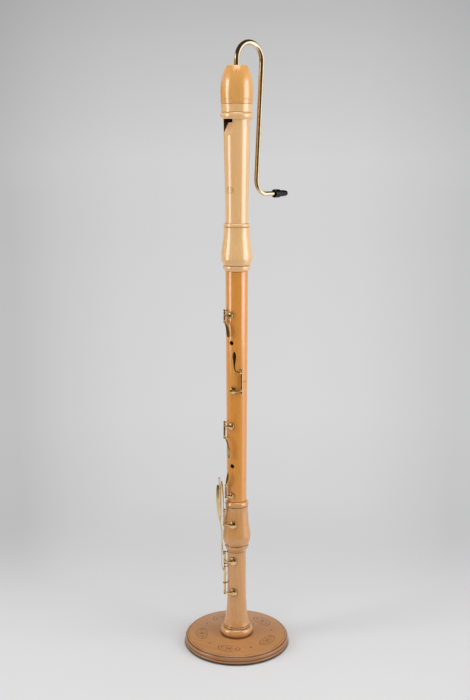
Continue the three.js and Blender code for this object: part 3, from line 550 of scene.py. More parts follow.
disc_outline = drawn_outline(
    [(0, 1.9), (120.4, 1.9)], [(121.8, 2.5), (122.7, 4.0), (122.9, 5.2), (122.4, 7.2), (121.7, 8.1)],
    [(120.2, 8.8)], [(121.4, 9.6)], [(122.0, 11.2), (122.3, 13.4), (121.8, 15.6), (120.6, 17.2)],
    [(118.6, 18.0)], [(118.7, 18.9), (118.0, 19.8), (116.4, 20.6)], [(114.5, 20.2)],
    [(113.8, 21.0), (112.9, 21.3)], [(9.9, 21.3)], [(9.9, 8.3)], [(0, 8.3)])
put(turned(disc_outline, 160), "stand_disc_turned", stand_wood, "stand", "stand_wood", "stand_disc")

peg_floor = 8.6
peg_outline = drawn_outline(
    [(0, peg_floor), (9, peg_floor), (9.6, peg_floor + 0.6)],
    [(9.6, peg_floor + 14), (8.9, peg_floor + 88)],
    [(8.3, peg_floor + 96), (6.4, peg_floor + 101.4), (3.2, peg_floor + 103.7), (0, peg_floor + 104)])
peg_wood = wood("peg_wood", (186, 140, 98), (150, 105, 68), (203, 158, 114), 0.0022, 0.7, 0.36, 0.15)
put(turned(peg_outline, 64), "stand_peg_turned", peg_wood, "stand", "stand_wood", "stand_peg")

felt, shader, place = new_material("stand_felt")
fibre = noise(place, 900, 6, 0.7, 1.2)
link(mixed(fibre, colour(34, 24, 20), colour(70, 54, 44)), shader.inputs["Base Color"])
tune(shader, Roughness=0.95, Sheen_Weight=0.35)
bumped(shader, fibre, 0.7, 0.0004)
felt_outline = drawn_outline([(0, 0), (115.5, 0)], [(116, 0.5)], [(116, 1.1)], [(115.5, 1.6)], [(0, 1.6)])
put(turned(felt_outline, 120), "stand_felt_pad", felt, "stand", "felt", "stand_felt")

steel, shader, place = new_material("steel")
drawn = noise(mapped(place, Scale=(1, 1, 0.05)), 2200, 3)
link(mixed(drawn, colour(172, 170, 166), colour(206, 205, 202)), shader.inputs["Base Color"])
link(plus(0.16, times(drawn, 0.2)), shader.inputs["Roughness"])
tune(shader, Metallic=1)
screw_outline = drawn_outline(
    [(0, 1.9), (4, 1.9), (4.2, 2.3)], [(2, 4.3)], [(2, 22), (0.3, 23.9), (0, 23.9)])
put(turned(screw_outline, 32), "stand_screw_turned", steel, "stand", "steel", "stand_screw")

# Foot joint. Turned from pale pearwood and oiled: a moulded end that stands over the peg, a long
# slender neck, a bulb with the lowest tone holes, and a socket for the middle joint at the top.
foot_floor = 21.6
foot_top = 354.4
foot_bore = 11.6
foot_outline = drawn_outline(
    [(foot_bore, foot_floor), (29.6, foot_floor)],
    [(33.6, 22.3), (36.8, 25.0), (38.2, 29.6), (37.6, 34.2), (35.6, 38.0), (32.9, 40.4)], [(31.0, 41.2)],
    [(32.0, 42.2), (32.3, 43.4), (31.8, 44.8)], [(30.2, 45.7)],
    [(30.9, 46.8), (30.4, 48.4), (28.6, 54), (26.8, 62.5), (25.3, 72.5), (24.1, 85), (23.0, 103),
     (22.3, 124), (21.9, 150), (21.8, 178), (21.9, 203), (22.1, 229.8)], [(22.7, 231.2)],
    [(25.6, 236.6), (27.1, 239.2), (27.9, 242.6), (27.3, 246.0)], [(26.3, 246.9)], [(27.8, 248.2)],
    [(29.6, 251.4), (31.3, 256.4), (32.4, 262.6), (32.6, 268), (31.9, 275.6), (30.2, 287), (28.7, 298),
     (27.8, 309), (27.0, 320), (26.3, 331), (26.3, 340.6)], [(25.3, 341.7)], [(26.6, 342.8)],
    [(27.5, 344.2), (27.7, 346.4), (27.1, 349.8), (25.7, 352.6), (24.3, 354.0), (23.4, foot_top)],
    [(19.9, foot_top)], [(19.3, foot_top - 0.6)], [(19.3, 314.4)], [(foot_bore, 314.4)],
    [(foot_bore, foot_floor)])


def placed(bm, matrix):
    bmesh.ops.transform(bm, matrix=matrix, verts=bm.verts)
    return bm


def along_turn(turn, height):
    """Stands a shape made round +Z on the joint's side, pointing outwards at this turn."""
    lie = Matrix.Rotation(math.radians(90), 4, "X")
    return Matrix.Translation((0, 0, height * mm)) @ Matrix.Rotation(math.radians(turn), 4, "Z") @ lie


def drill(radius, inner, outer, turn, height, sides=40, flare=0):
    """A round cutter that points outwards at this turn, for a hole from inner to outer distance."""
    bm = bmesh.new()
    bmesh.ops.create_cone(
        bm, cap_ends=True, segments=sides, radius1=radius * mm, radius2=(radius + flare) * mm,
        depth=(outer - inner) * mm, matrix=Matrix.Translation((0, 0, (inner + outer) / 2 * mm)))
    return thing_of(placed(bm, along_turn(turn, height)), "drill")


def bored(bm, cutters):
    """The turned blank with its holes cut."""
    blank = thing_of(bm, "blank")
    for thing in cutters:
        cut = blank.modifiers.new("cut", "BOOLEAN")
        cut.object = thing
        cut.operation = "DIFFERENCE"
        cut.solver = "EXACT"
    done = bpy.data.meshes.new_from_object(blank.evaluated_get(bpy.context.evaluated_depsgraph_get()))
    for thing in [blank, *cutters]:
        bpy.data.meshes.remove(thing.data)
    result = bmesh.new()
    result.from_mesh(done)
    bpy.data.meshes.remove(done)
    soften_edges(result)
    return result


# Each key of the foot and of the middle joint is written once here, because the wood is cut for it
# before its metal is made. Turns are in degrees, heights and sizes in millimetres.
post_sink = 4.6
foot_keys = {
    "key_6_low": dict(
        cup_turn=15, cup_height=303.0, cup_radius=8.6, hole=5.6, wood_radius=28.23, rod_turn=-35,
        rod_distance=32.8, posts=(297.32, 334.98), spring=314.0),
    "key_7": dict(
        cup_turn=9, cup_height=210.0, cup_radius=9.4, hole=6.4, wood_radius=22.02, rod_turn=-41,
        rod_distance=30.2, posts=(199.52, 228.99), spring=205.3),
    "key_7_low": dict(
        cup_turn=11, cup_height=131.99, cup_radius=9.4, hole=6.4, wood_radius=22.13, rod_turn=-41,
        rod_distance=30.2, posts=(125.28, 192.25), spring=170.28),
}


def seat_of(key):
    """How far out the flat under a key's pad lies."""
    return math.sqrt(key["wood_radius"] ** 2 - key["cup_radius"] ** 2)


def on_seat(key):
    """Stands a shape made round +Z on that flat, pointing outwards."""
    return along_turn(key["cup_turn"], key["cup_height"]) @ Matrix.Translation((0, 0, seat_of(key) * mm))


def key_cuts(keys, bore):
    """Under each pad the wood has a tone hole, and a flat round seat that the drill left."""
    cuts = []
    for key in keys.values():
        outer = key["rod_distance"] + 6
        for radius, inner in ((key["hole"], bore / 2), (key["cup_radius"] + 0.9, seat_of(key))):
            cuts.append(drill(radius, inner, outer, key["cup_turn"], key["cup_height"]))
    return cuts


foot_wood = wood("foot_wood", (212, 151, 86), (172, 110, 52), (226, 169, 104), 0.0023, 0.75, 0.24, 1.0)
# Painted shade in the grooves and inside the bore and holes, and painted contact shade under the foot's end.
paint_shade(foot_wood, (41.2, 45.7, 230.6, 246.9, 341.7), 0.8, (70, 38, 18), 0.7, below=23.4, core=20)
put(bored(turned(foot_outline), key_cuts(foot_keys, foot_bore)), "foot_joint_turned", foot_wood, "foot",
    "foot_wood", "foot_joint")

# Middle joint. One long, nearly straight piece of redder pearwood with a tenon at each end. It has
# four keyed tone holes, two plain finger holes in front and a thumb hole behind.
middle_floor = 354.7
middle_top = 890.2
middle_bore = 12.4
tenon_foot = 315.7
tenon_top = 936.2
middle_keys = {
    "key_1": dict(
        cup_turn=-4.5, cup_height=793.5, cup_radius=8.1, hole=5.4, wood_radius=24.83, rod_turn=-33.5,
        rod_distance=31.0, posts=(776.99, 802.91), spring=787.84),
    "key_3": dict(
        cup_turn=10, cup_height=621.96, cup_radius=7.8, hole=5.2, wood_radius=24.0, rod_turn=51,
        rod_distance=29.2, posts=(615.49, 668.02), spring=640.61),
    "key_4": dict(
        cup_turn=-1, cup_height=538.0, cup_radius=8.1, hole=5.4, wood_radius=23.59, rod_turn=-35.5,
        rod_distance=31.0, posts=(508.02, 544.95), spring=526.51),
    "key_6": dict(
        cup_turn=-2, cup_height=372.02, cup_radius=7.1, hole=4.7, wood_radius=22.78, rod_turn=-31,
        rod_distance=29.2, posts=(365.39, 393.72), spring=382.76),
}


def middle_radius(height):
    """The middle joint's taper: its radius at this height."""
    low, high = 22.7, 25.3
    return low + (high - low) * (height - middle_floor) / (middle_top - middle_floor)


def tenon(radius, start, end, cork_length=24, cork_depth=1.5):
    """A tenon's outline from start to end, with the shallow bed that its cork lies in."""
    low = (start + end - cork_length) / 2
    high = (start + end + cork_length) / 2
    deep = radius - cork_depth
    return [(radius, start), (radius, low)], [(deep, low)], [(deep, high)], [(radius, high)], [(radius, end)]


shaft = [(middle_radius(height), height) for height in range(360, 886, 6)]
middle_outline = drawn_outline(
    [(18.0, tenon_foot)], *tenon(18.4, tenon_foot, middle_floor), [(21.8, middle_floor)],
    [(22.6, middle_floor + 0.5), (22.7, middle_floor + 1.4)], [*shaft, (25.3, 889.1)],
    [(25.2, 889.8), (24.6, middle_top)], *tenon(20.6, middle_top, tenon_top), [(20.2, tenon_top)],
    [(16.2, tenon_top)], [(middle_bore, tenon_foot)], [(18.0, tenon_foot)])
middle_wood = wood("middle_wood", (228, 149, 58), (186, 106, 34), (240, 168, 78), 0.0021, 0.8, 0.22, 1.0)
# Painted shade at the joint's two shoulders, and inside the bore and the holes.
paint_shade(middle_wood, (355.2, 889.9), 0.5, (80, 42, 18), 0.6, core=20.8)
plain_holes = [
    drill(radius, 0, 31, turn, height, flare=0.4)
    for radius, turn, height in ((4.7, 0, 729.96), (4.7, 2, 441.97), (4.4, 180, 823.64))]
strap_height = 662.25
strap_seat = 23.56


def block_of(width, depth, height, spot, turn=0):
    """A square block of this size in millimetres about its spot, turned about the upright axis."""
    bm = bmesh.new()
    lie = Matrix.Translation([part * mm for part in spot]) @ Matrix.Rotation(math.radians(turn), 4, "Z")
    bmesh.ops.create_cube(bm, size=1, matrix=lie @ Matrix.Diagonal((width * mm, depth * mm, height * mm, 1)))
    return bm


strap_bed = thing_of(block_of(11.6, 11, 30.6, (0, strap_seat + 5.5, strap_height)), "strap_bed")
middle = bored(turned(middle_outline), [*key_cuts(middle_keys, middle_bore), *plain_holes, strap_bed])
put(middle, "middle_joint_turned", middle_wood, "middle", "middle_wood", "middle_joint")

# Head joint. Turned from the palest pearwood: a bulb round the socket below, a long slim neck, and a
# bead under the cap. The window is cut with a knife and leaves a lip at the end of a flat ramp.
head_floor = 890.5
head_top = 1250.3
window_top = 1219.0
lip_height = 1212.0
lip_out = 18.1
ramp_foot = 1179.8
ramp_out = 29.5
head_tenon_top = 1288.3
head_outline = drawn_outline(
    [(22.1, head_floor), (26.6, head_floor)],
    [(28.2, 891.6), (30.2, 894.6), (31.0, 898.2), (30.6, 900.8), (29.8, 902.2)], [(28.5, 903.0)],
    [(30.0, 903.9)], [(31.6, 905.8), (33.3, 909.6), (34.9, 914.8), (35.4, 920), (35.0, 926.6), (34.0, 934),
     (32.6, 943.6), (31.0, 954.6), (29.8, 965.6), (29.35, 975), (29.3, 986.4)], [(27.8, 987.4)],
    [(29.1, 988.4)], [(29.8, 990.2), (29.9, 992.2), (29.4, 994.3), (28.6, 995.3)], [(26.2, 996.0)],
    [(25.9, 997.2), (25.75, 1008), (25.8, 1028), (26.05, 1050), (26.5, 1080), (27.1, 1110), (27.7, 1140),
     (28.35, 1170), (28.85, 1195), (29.2, 1212), (29.5, 1217.6)], [(30.0, 1218.6)],
    [(32.6, 1219.8), (34.8, 1222.6), (35.7, 1226.4), (35.2, 1229.8), (34.0, 1231.8)], [(32.3, 1232.6)],
    [(33.2, 1233.7)], [(33.4, 1240), (33.8, 1246), (34.15, head_top - 0.6)], [(33.6, head_top)],
    *tenon(25.8, head_top, head_tenon_top), [(25.3, head_tenon_top)], [(17.0, head_tenon_top)],
    [(17.0, 937.5)], [(21.5, 937.5)], [(21.5, head_floor + 0.6)], [(22.1, head_floor)])
head_turn = -18
face_on = Matrix.Rotation(math.radians(head_turn), 4, "Z")


def knife_cut(side, width):
    """A cutter of this side view, [distance out, height], pushed straight through for its width."""
    bm = bmesh.new()
    face = bm.faces.new([bm.verts.new((-width / 2 * mm, -out * mm, height * mm)) for out, height in side])
    pushed = bmesh.ops.extrude_face_region(bm, geom=[face])["geom"]
    moved = [part for part in pushed if isinstance(part, bmesh.types.BMVert)]
    bmesh.ops.translate(bm, verts=moved, vec=(width * mm, 0, 0))
    bmesh.ops.recalc_face_normals(bm, faces=bm.faces)
    return thing_of(placed(bm, face_on), "knife_cut")


window_cut = knife_cut([
    (42, ramp_foot), (ramp_out, ramp_foot), (lip_out, lip_height), (8, lip_height), (8, window_top),
    (42, window_top)], 28)
windway_cut = knife_cut([(18.7, window_top - 0.4), (18.7, 1297), (8, 1297), (8, window_top - 0.4)], 26)
head_wood = wood("head_wood", (240, 189, 126), (212, 154, 92), (246, 204, 150), 0.0024, 0.6, 0.24, 1.0)
# Painted shade in the turned grooves of the bulb and the bead, and inside the bore.
paint_shade(head_wood, (903.0, 987.4, 995.9, 1232.6), 0.7, (120, 72, 36), 0.5, core=17.6)
head = bored(turned(head_outline), [window_cut, windway_cut])
ramp_face = face_on.to_3x3() @ Vector((0, -(lip_height - ramp_foot), ramp_out - lip_out)).normalized()
for edge in head.edges:
    on_ramp = [face for face in edge.link_faces if face.normal.dot(ramp_face) > 0.9999]
    edge.smooth = edge.smooth and len(on_ramp) != 1
put(head, "head_joint_turned", head_wood, "head", "head_wood", "head_joint")

# One small rosette is burned into the front of the head, like the ones on the disc. The window's left
# cheek and a strip of the ramp beside it, widening upwards, are painted dark as painted shade and shadow.
rosette_height = 1068
cheek_foot = 1189
shader, place = finish_of(head_wood)
spread = parted(mapped(place, Rotation=(0, 0, math.radians(8))))
upwards = minus(spread["Z"], rosette_height * mm)
rim = oval(spread["X"], upwards, 8.5 * mm, 7 * mm)
marks = line_at(minus(rim, petals(spread["X"], upwards, 0.5, 0.22)), 0, 0.12)
marks = times(larger(marks, line_at(rim, 1, 0.12)), between(spread["Y"], -0.010, -0.012))
painted(shader, times(marks, 0.55), (150, 84, 50))
# The cheek and the ramp beside it get painted shade and the cheek's painted shadow.
from_cheek = plus(parted(mapped(place, Rotation=(0, 0, math.radians(-head_turn))))["X"], 14 * mm)
slant = times(minus(spread["Z"], cheek_foot * mm), 0.34)
cheek_shadow = between(minus(from_cheek, slant), 0.5 * mm, -0.3 * mm)
for part, low, high in (
        (from_cheek, -0.7, -0.3), (spread["Z"], cheek_foot - 1, cheek_foot + 1),
        (spread["Z"], window_top + 0.6, window_top - 0.2), (spread["Y"], 0, -1)):
    cheek_shadow = times(cheek_shadow, between(part, low * mm, high * mm))
painted(shader, times(cheek_shadow, 0.95), (66, 28, 8))

# The block is a plug of cedar under the windway. Only its end shows, in the window.
block_outline = drawn_outline(
    [(0, window_top), (16.2, window_top)], [(16.7, window_top + 0.5)], [(16.7, 1287.5)], [(16.2, 1288.0)],
    [(0, 1288.0)])
block_wood = wood("block_wood", (168, 108, 70), (128, 74, 44), (186, 128, 86), 0.0012, 0.4, 0.5, 0)
block_flat = knife_cut([(15.9, 1210), (15.9, 1300), (30, 1300), (30, 1210)], 40)
put(bored(turned(block_outline, 72), [block_flat]), "block_turned", block_wood, "head", "block_wood", "block")

# Cap. A bell of the same wood as the middle joint, pushed over the head's upper tenon. The hollow in
# it is the wind chamber, and the bocal comes in through the middle of its flat top.
cap_floor = 1250.6
cap_top = 1330.3
cap_outline = drawn_outline(
    [(27.3, cap_floor), (33.6, cap_floor)], [(34.3, cap_floor + 0.7)], [(34.7, 1255), (34.95, 1259.3)],
    [(34.6, 1259.9)], [(35.0, 1260.5)], [(35.25, 1266), (35.45, 1273), (35.5, 1279), (35.3, 1286),
     (34.7, 1293.6), (33.6, 1301.4), (31.8, 1309.2), (29.2, 1317.6), (26.5, 1324.4), (24.6, 1328.2),
     (23.6, 1329.8), (22.8, cap_top)], [(8.4, cap_top)], [(8.0, cap_top - 0.5)], [(8.0, 1305.9)],
    [(20.0, 1305.9)], [(20.0, 1288.9)], [(26.7, 1288.9)], [(26.7, cap_floor + 0.6)], [(27.3, cap_floor)])
cap_wood = wood("cap_wood", (230, 166, 86), (196, 126, 56), (240, 184, 108), 0.0023, 0.6, 0.22, 1.0)
# Painted shade where the cap meets the head, and in its groove.
paint_shade(cap_wood, (cap_floor + 0.3, 1259.9), 0.4, (150, 96, 50), 0.3)
put(turned(cap_outline), "cap_turned", cap_wood, "cap", "cap_wood", "cap")

# Cork lapping. A strip of sheet cork is glued into the bed of each tenon, sanded round and greased,
# and a thin sleeve of it holds the bocal in the cap.
cork, shader, place = new_material("cork")
cells = new_node(place.id_data, "ShaderNodeTexVoronoi")
tune(cells, Scale=650)
link(place, cells.inputs["Vector"])
fleck = between(noise(place, 260, 4, 0.6), 0.56, 0.68)
body = mixed(cells.outputs["Distance"], colour(196, 152, 106), colour(172, 126, 82))
link(mixed(times(fleck, 0.8), body, colour(104, 66, 38)), shader.inputs["Base Color"])
tune(shader, Roughness=0.8)
bumped(shader, minus(cells.outputs["Distance"], fleck), 0.5, 0.0002)


def cork_sleeve(name, body, node, inner, outer, low, high):
    ease = 0.4 if outer - inner > 1 else 0.2
    outline = drawn_outline(
        [(inner, low), (outer - ease, low), (outer - ease * 0.3, low + ease * 0.3), (outer, low + ease)],
        [(outer, high - ease)], [(outer - ease * 0.3, high - ease * 0.3), (outer - ease, high)],
        [(inner, high)], [(inner, low)])
    put(turned(outline, 72), name, cork, body, "cork", node)


cork_sleeve("middle_lower_lapping", "middle", "middle_lower_cork", 17.2, 19.0, 323.5, 346.9)
cork_sleeve("middle_upper_lapping", "middle", "middle_upper_cork", 19.4, 21.2, 901.5, 924.9)
cork_sleeve("head_lapping", "head", "head_cork", 24.6, 26.4, 1257.6, 1281.0)
cork_sleeve("bocal_sleeve", "cap", "bocal_cork", 6.9, 7.7, 1314.0, 1330.0)

# Bocal. One brass tube, filled, bent over two formers and polished. It rises from the cap, drops down
# behind it and turns out towards the player.
handled_brass, given, made = node_group("handled_brass", {
    "Place": "Vector", "Metal": "Color", "Tarnish": "Color", "Polish": "Float"}, surface)
dulled = between(noise(given["Place"], 60, 3, 0.5, 0.4), 0.5, 0.8)
smear = noise(mapped(given["Place"], Scale=(1, 1, 0.3)), 420, 3, 0.6)
hairline = noise(mapped(given["Place"], Scale=(1, 1, 0.12)), 3200, 2)
link(mixed(times(dulled, 0.45), given["Metal"], given["Tarnish"]), made["Color"])
link(plus(plus(given["Polish"], times(dulled, 0.1)), times(smear, 0.08)), made["Roughness"])
link(plus(hairline, times(smear, 0.6)), made["Height"])


def brass(name, metal, tarnish, polish):
    material, shader, place = new_material(name)
    grouped(
        shader, place, handled_brass, 0.06, 0.00003, Metal=colour(*metal), Tarnish=colour(*tarnish),
        Polish=polish)
    tune(shader, Metallic=1)
    return material


bocal_brass = brass("bocal_brass", (234, 217, 184), (196, 156, 106), 0.05)
bocal_faces = Matrix.Rotation(math.radians(162), 4, "Z")
bocal_foot = 1311.3
bocal_length = 474
bocal_radius = 6.6
narrowing = 1.4
arc_height = 1344.1
arc_radius = 37.5
lean = math.radians(3.3)
drop = 253
elbow_radius = 30
tail = 39.5
tube = bmesh.new()
bmesh.ops.create_circle(
    tube, segments=28, radius=bocal_radius * mm, matrix=Matrix.Translation((0, 0, bocal_foot * mm)))


def ring_verts(ring):
    return list({vert for edge in ring for vert in edge.verts})


def pulled(bm, ring):
    """Draws out the open end of a tube, and gives the ring of edges at its new end."""
    grown = bmesh.ops.extrude_edge_only(bm, edges=ring)["geom"]
    return [part for part in grown if isinstance(part, bmesh.types.BMEdge) and len(part.link_faces) == 1]


def tapered(bm, ring, before, after):
    """Narrows a ring as the drawn tube does between these two lengths from the cap."""
    verts = ring_verts(ring)
    middle = sum((vert.co for vert in verts), Vector()) / len(verts)
    radii = [bocal_radius - narrowing * (length / bocal_length) ** 0.6 for length in (before, after)]
    share = radii[1] / radii[0]
    bmesh.ops.scale(bm, vec=(share, share, share), space=Matrix.Translation(-middle), verts=verts)


def drawn_on(bm, ring, step, pieces, start):
    """Draws the open end of a tube straight on, from start along its length."""
    piece = Vector(step).length / pieces
    for i in range(pieces):
        ring = pulled(bm, ring)
        bmesh.ops.translate(bm, verts=ring_verts(ring), vec=Vector(step) * mm / pieces)
        tapered(bm, ring, start + i * piece, start + (i + 1) * piece)
    return ring


def bent_on(bm, ring, centre, radius, angle, steps, start):
    """Bends the open end of a tube round a former, in the plane of the bocal."""
    piece = abs(angle) * radius / steps
    for i in range(steps):
        grown = bmesh.ops.spin(
            bm, geom=ring + ring_verts(ring), cent=Vector(centre) * mm, axis=(1, 0, 0), angle=angle / steps,
            steps=1, use_merge=False, use_duplicate=False)["geom_last"]
        ring = [part for part in grown if isinstance(part, bmesh.types.BMEdge)]
        tapered(bm, ring, start + i * piece, start + (i + 1) * piece)
    return ring


ring = drawn_on(tube, list(tube.edges), (0, 0, arc_height - bocal_foot), 2, 0)
ring = bent_on(tube, ring, (0, -arc_radius, arc_height), arc_radius, math.pi + lean, 40, 33)
drop_step = (0, drop * math.sin(lean), -drop * math.cos(lean))
ring = drawn_on(tube, ring, drop_step, 8, 153)
low_y = -arc_radius * (1 + math.cos(lean)) + drop_step[1]
low_z = arc_height - arc_radius * math.sin(lean) + drop_step[2]
bend_y = low_y - elbow_radius * math.cos(lean)
bend_z = low_z - elbow_radius * math.sin(lean)
ring = bent_on(tube, ring, (0, bend_y, bend_z), elbow_radius, -(math.pi / 2 - lean), 20, 406)
drawn_on(tube, ring, (0, -tail, 0), 2, 434)
placed(tube, bocal_faces)
soften_edges(tube, 60)
bocal = put(tube, "bocal_drawn", bocal_brass, "bocal", "brass", "bocal_tube")
wall = bocal.modifiers.new("wall", "SOLIDIFY")
wall.thickness = 1.3 * mm
wall.offset = -1
rim_edge = bocal.modifiers.new("rim", "BEVEL")
rim_edge.width = 0.3 * mm
rim_edge.segments = 2
rim_edge.limit_method = "ANGLE"

# Mouthpiece. Turned from black plastic and polished: a thick ring for the fingers, then a slim tip
# that goes between the lips. It is pushed on the bocal's tail.
tail_y = bend_y - tail
tail_z = bend_z - elbow_radius
black, shader, place = new_material("mouthpiece_black")
scuff = noise(place, 700, 5, 0.65)
link(mixed(scuff, colour(7, 7, 7), colour(15, 14, 14)), shader.inputs["Base Color"])
link(plus(0.08, times(scuff, 0.16)), shader.inputs["Roughness"])
tune(shader, Specular_IOR_Level=0.25)
bumped(shader, scuff, 0.1, 0.00005)
mouth_outline = drawn_outline(
    [(5.5, 0), (8.4, 0), (9.1, 0.4), (9.5, 1.4), (9.6, 3), (9.6, 13.6), (9.5, 15), (9.0, 16.4),
     (8.2, 17.2)], [(7.7, 17.9), (7.6, 19), (7.5, 23), (7.1, 30), (6.5, 36), (6.0, 38.8), (5.2, 40.4),
     (4.0, 41.2), (2.9, 41.3)], [(2.4, 40.9)], [(2.4, 15)], [(5.5, 15)], [(5.5, 0)])
overlap = 14.7
pushed_on = Matrix.Translation(Vector((0, tail_y + overlap, tail_z)) * mm)
pushed_on @= Matrix.Rotation(math.pi / 2, 4, "X")
mouth = placed(turned(mouth_outline, 64), bocal_faces @ pushed_on)
put(mouth, "mouthpiece_turned", black, "mouthpiece", "black_plastic", "mouthpiece")

# Strap ring. A brass plate let into the back of the middle joint and held by two slotted screws, with
# a stout ring for a neck strap.
key_brass = brass("key_brass", (240, 208, 148), (198, 152, 90), 0.07)
plate_back = strap_seat + 0.3
plate_thickness = 1.8
plate_face = plate_back + plate_thickness
plate = block_of(11, plate_thickness, 30, (0, plate_back + plate_thickness / 2, strap_height))
upright_edges = [edge for edge in plate.edges if abs(edge.verts[0].co.y - edge.verts[1].co.y) > mm]
bmesh.ops.bevel(
    plate, geom=upright_edges, offset=3.6 * mm, segments=6, affect="EDGES", profile=0.5, material=-1)
front_edges = [
    edge for edge in plate.edges if all(vert.co.y > (plate_face - 0.1) * mm for vert in edge.verts)]
bmesh.ops.bevel(
    plate, geom=front_edges, offset=0.4 * mm, segments=2, affect="EDGES", profile=0.5, material=-1)
loop_end = Vector((0, plate_face, strap_height + 7)) * mm
loop = bmesh.ops.create_circle(
    plate, segments=16, radius=1.4 * mm,
    matrix=Matrix.Translation(loop_end) @ Matrix.Rotation(math.pi / 2, 4, "Y"))
loop_edges = list({edge for vert in loop["verts"] for edge in vert.link_edges})
bmesh.ops.rotate(plate, verts=loop["verts"], cent=loop_end, matrix=Matrix.Rotation(math.pi / 2, 3, "Z"))
bmesh.ops.spin(
    plate, geom=loop["verts"] + loop_edges, cent=(0, plate_face * mm, strap_height * mm), axis=(1, 0, 0),
    angle=-math.pi, steps=28, use_merge=False, use_duplicate=False)
bmesh.ops.holes_fill(plate, edges=[edge for edge in plate.edges if edge.is_boundary], sides=0)
soften_edges(plate, 40)
put(plate, "strap_plate", key_brass, "middle", "brass", "strap_ring")
for end in (-1, 1):
    screw = turned(drawn_outline([(0, -2), (2.3, -2)], [(2.3, 0.2), (2.0, 0.5), (1.2, 0.75), (0, 0.8)]), 32)
    screw = bored(screw, [thing_of(block_of(0.5, 6, 0.8, (0, 0, 0.7), 20 * end), "slot")])
    placed(screw, along_turn(180, strap_height + end * 11.1) @ Matrix.Translation((0, 0, plate_face * mm)))
    put(screw, "strap_screw_low" if end < 0 else "strap_screw_high", key_brass, "middle", "brass")

# Keys. Each is hard-soldered together from a drawn hinge tube, a filed arm with its pad cup, and a
# forged touch, and is polished. It swings on a steel rod between two ball posts screwed into the
# wood, a needle spring holds it open, and a pad of pale leather over felt lies in the cup.
pad_lift = 3.0
tube_radius = 2.4
blade = 1.7


def opened(key):
    """The turn about its rod that lifts a key's pad off the wood."""
    across = key["cup_turn"] - key["rod_turn"]
    lift = math.asin(pad_lift / (key["rod_distance"] * abs(math.sin(math.radians(across)))))
    pivot = Matrix.Rotation(math.radians(key["rod_turn"]), 4, "Z") @ Matrix.Translation(
        (0, -key["rod_distance"] * mm, 0))
    return pivot @ Matrix.Rotation(-math.copysign(lift, across), 4, "Z") @ pivot.inverted()


def merged(bm, *others):
    """Adds separately shaped pieces of one key to its mesh."""
    for other in others:
        data = bpy.data.meshes.new("piece")
        other.to_mesh(data)
        other.free()
        bm.from_mesh(data)
        bpy.data.meshes.remove(data)
    return bm


def swept(bm, frames):
    """Draws the capped ring in bm on through these frames, and closes its far end."""
    placed(bm, frames[0])
    ring = list(bm.edges)
    for before, after in zip(frames, frames[1:]):
        ring = pulled(bm, ring)
        bmesh.ops.transform(bm, matrix=after @ before.inverted(), verts=ring_verts(ring))
    bmesh.ops.contextual_create(bm, geom=ring)
    return bm


def flat_bar(stations, sides=12):
    """A flat bar with rounded edges through stations of [place, outward turn, width, thickness]."""
    bm = bmesh.new()
    count = len(stations)
    frames = []
    for i, (spot, turn, width, thickness) in enumerate(stations):
        along = (stations[min(i + 1, count - 1)][0] - stations[max(i - 1, 0)][0]).normalized()
        out = spot_at(turn, 1, 0)
        side = along.cross(out).normalized()
        out = side.cross(along).normalized()
        frame = Matrix((side, out, along)).transposed().to_4x4()
        frame = Matrix.Translation(spot) @ frame @ Matrix.Diagonal((width / 2 * mm, thickness / 2 * mm, 1, 1))
        frames.append(frame)
    start = bmesh.ops.create_circle(bm, cap_ends=True, segments=sides, radius=1)["verts"]
    for vert in start:
        vert.co.x = math.copysign(abs(vert.co.x) ** 0.55, vert.co.x)
        vert.co.y = math.copysign(abs(vert.co.y) ** 0.7, vert.co.y)
    swept(bm, frames)
    bmesh.ops.recalc_face_normals(bm, faces=bm.faces)
    for face in bm.faces:
        face.smooth = True
    return bm


def at(turn, distance, height):
    return spot_at(turn, distance, height) * mm


def rounded_off(stations):
    """Draws in the far end of a bar, so that it finishes round."""
    last = stations[-1]
    tip = last[0] + (last[0] - stations[-2][0]).normalized() * 0.5 * mm
    return [*stations, (tip, last[1], last[2] * 0.55, last[3] * 0.6)]


def touch_bar(rows):
    """The key's flat blade, forged to shape along its way and widened where the finger lies."""
    stations = []
    for turn, distance, height, width, *facing in rows:
        out = facing[0] if facing else turn
        stations.append((at(turn, distance, height), out, width, blade * (1 if width < 5 else 0.9)))
    return flat_bar(rounded_off(stations))


def cup_arm(key):
    """The filed arm that runs from the hinge tube over the middle of the cup."""
    start, end = key["rod_distance"] + 1.2, seat_of(key) + 4.9
    stations = []
    for share in (-0.02, 0.15, 0.35, 0.55, 0.75, 0.92, 1.02):
        distance = start + (end - start) * share + 2 * math.sin(math.pi * min(max(share, 0), 1))
        turn = key["rod_turn"] + (key["cup_turn"] - key["rod_turn"]) * share
        stations.append((at(turn, distance, key["cup_height"]), turn, 3.4 + 1.5 * share, 2.0))
    return flat_bar(rounded_off(stations))


def pad_cup(key):
    """The pad's cup: a shallow dome with a step round it and a thin straight rim."""
    cup = key["cup_radius"]
    outline = drawn_outline(
        [(0, 2.9), (cup - 0.9, 2.9)], [(cup - 0.9, 1.3)], [(cup - 0.1, 1.2)], [(cup, 1.35)],
        [(cup, 2.7), (cup - 0.1, 2.95), (cup - 0.35, 3.1)], [(cup - 0.7, 3.1)],
        [(cup - 0.95, 3.5), (cup - 1.8, 3.95), (cup * 0.6, 4.6), (cup * 0.3, 5.2), (0, 5.4)])
    return placed(turned(outline, 64), on_seat(key))


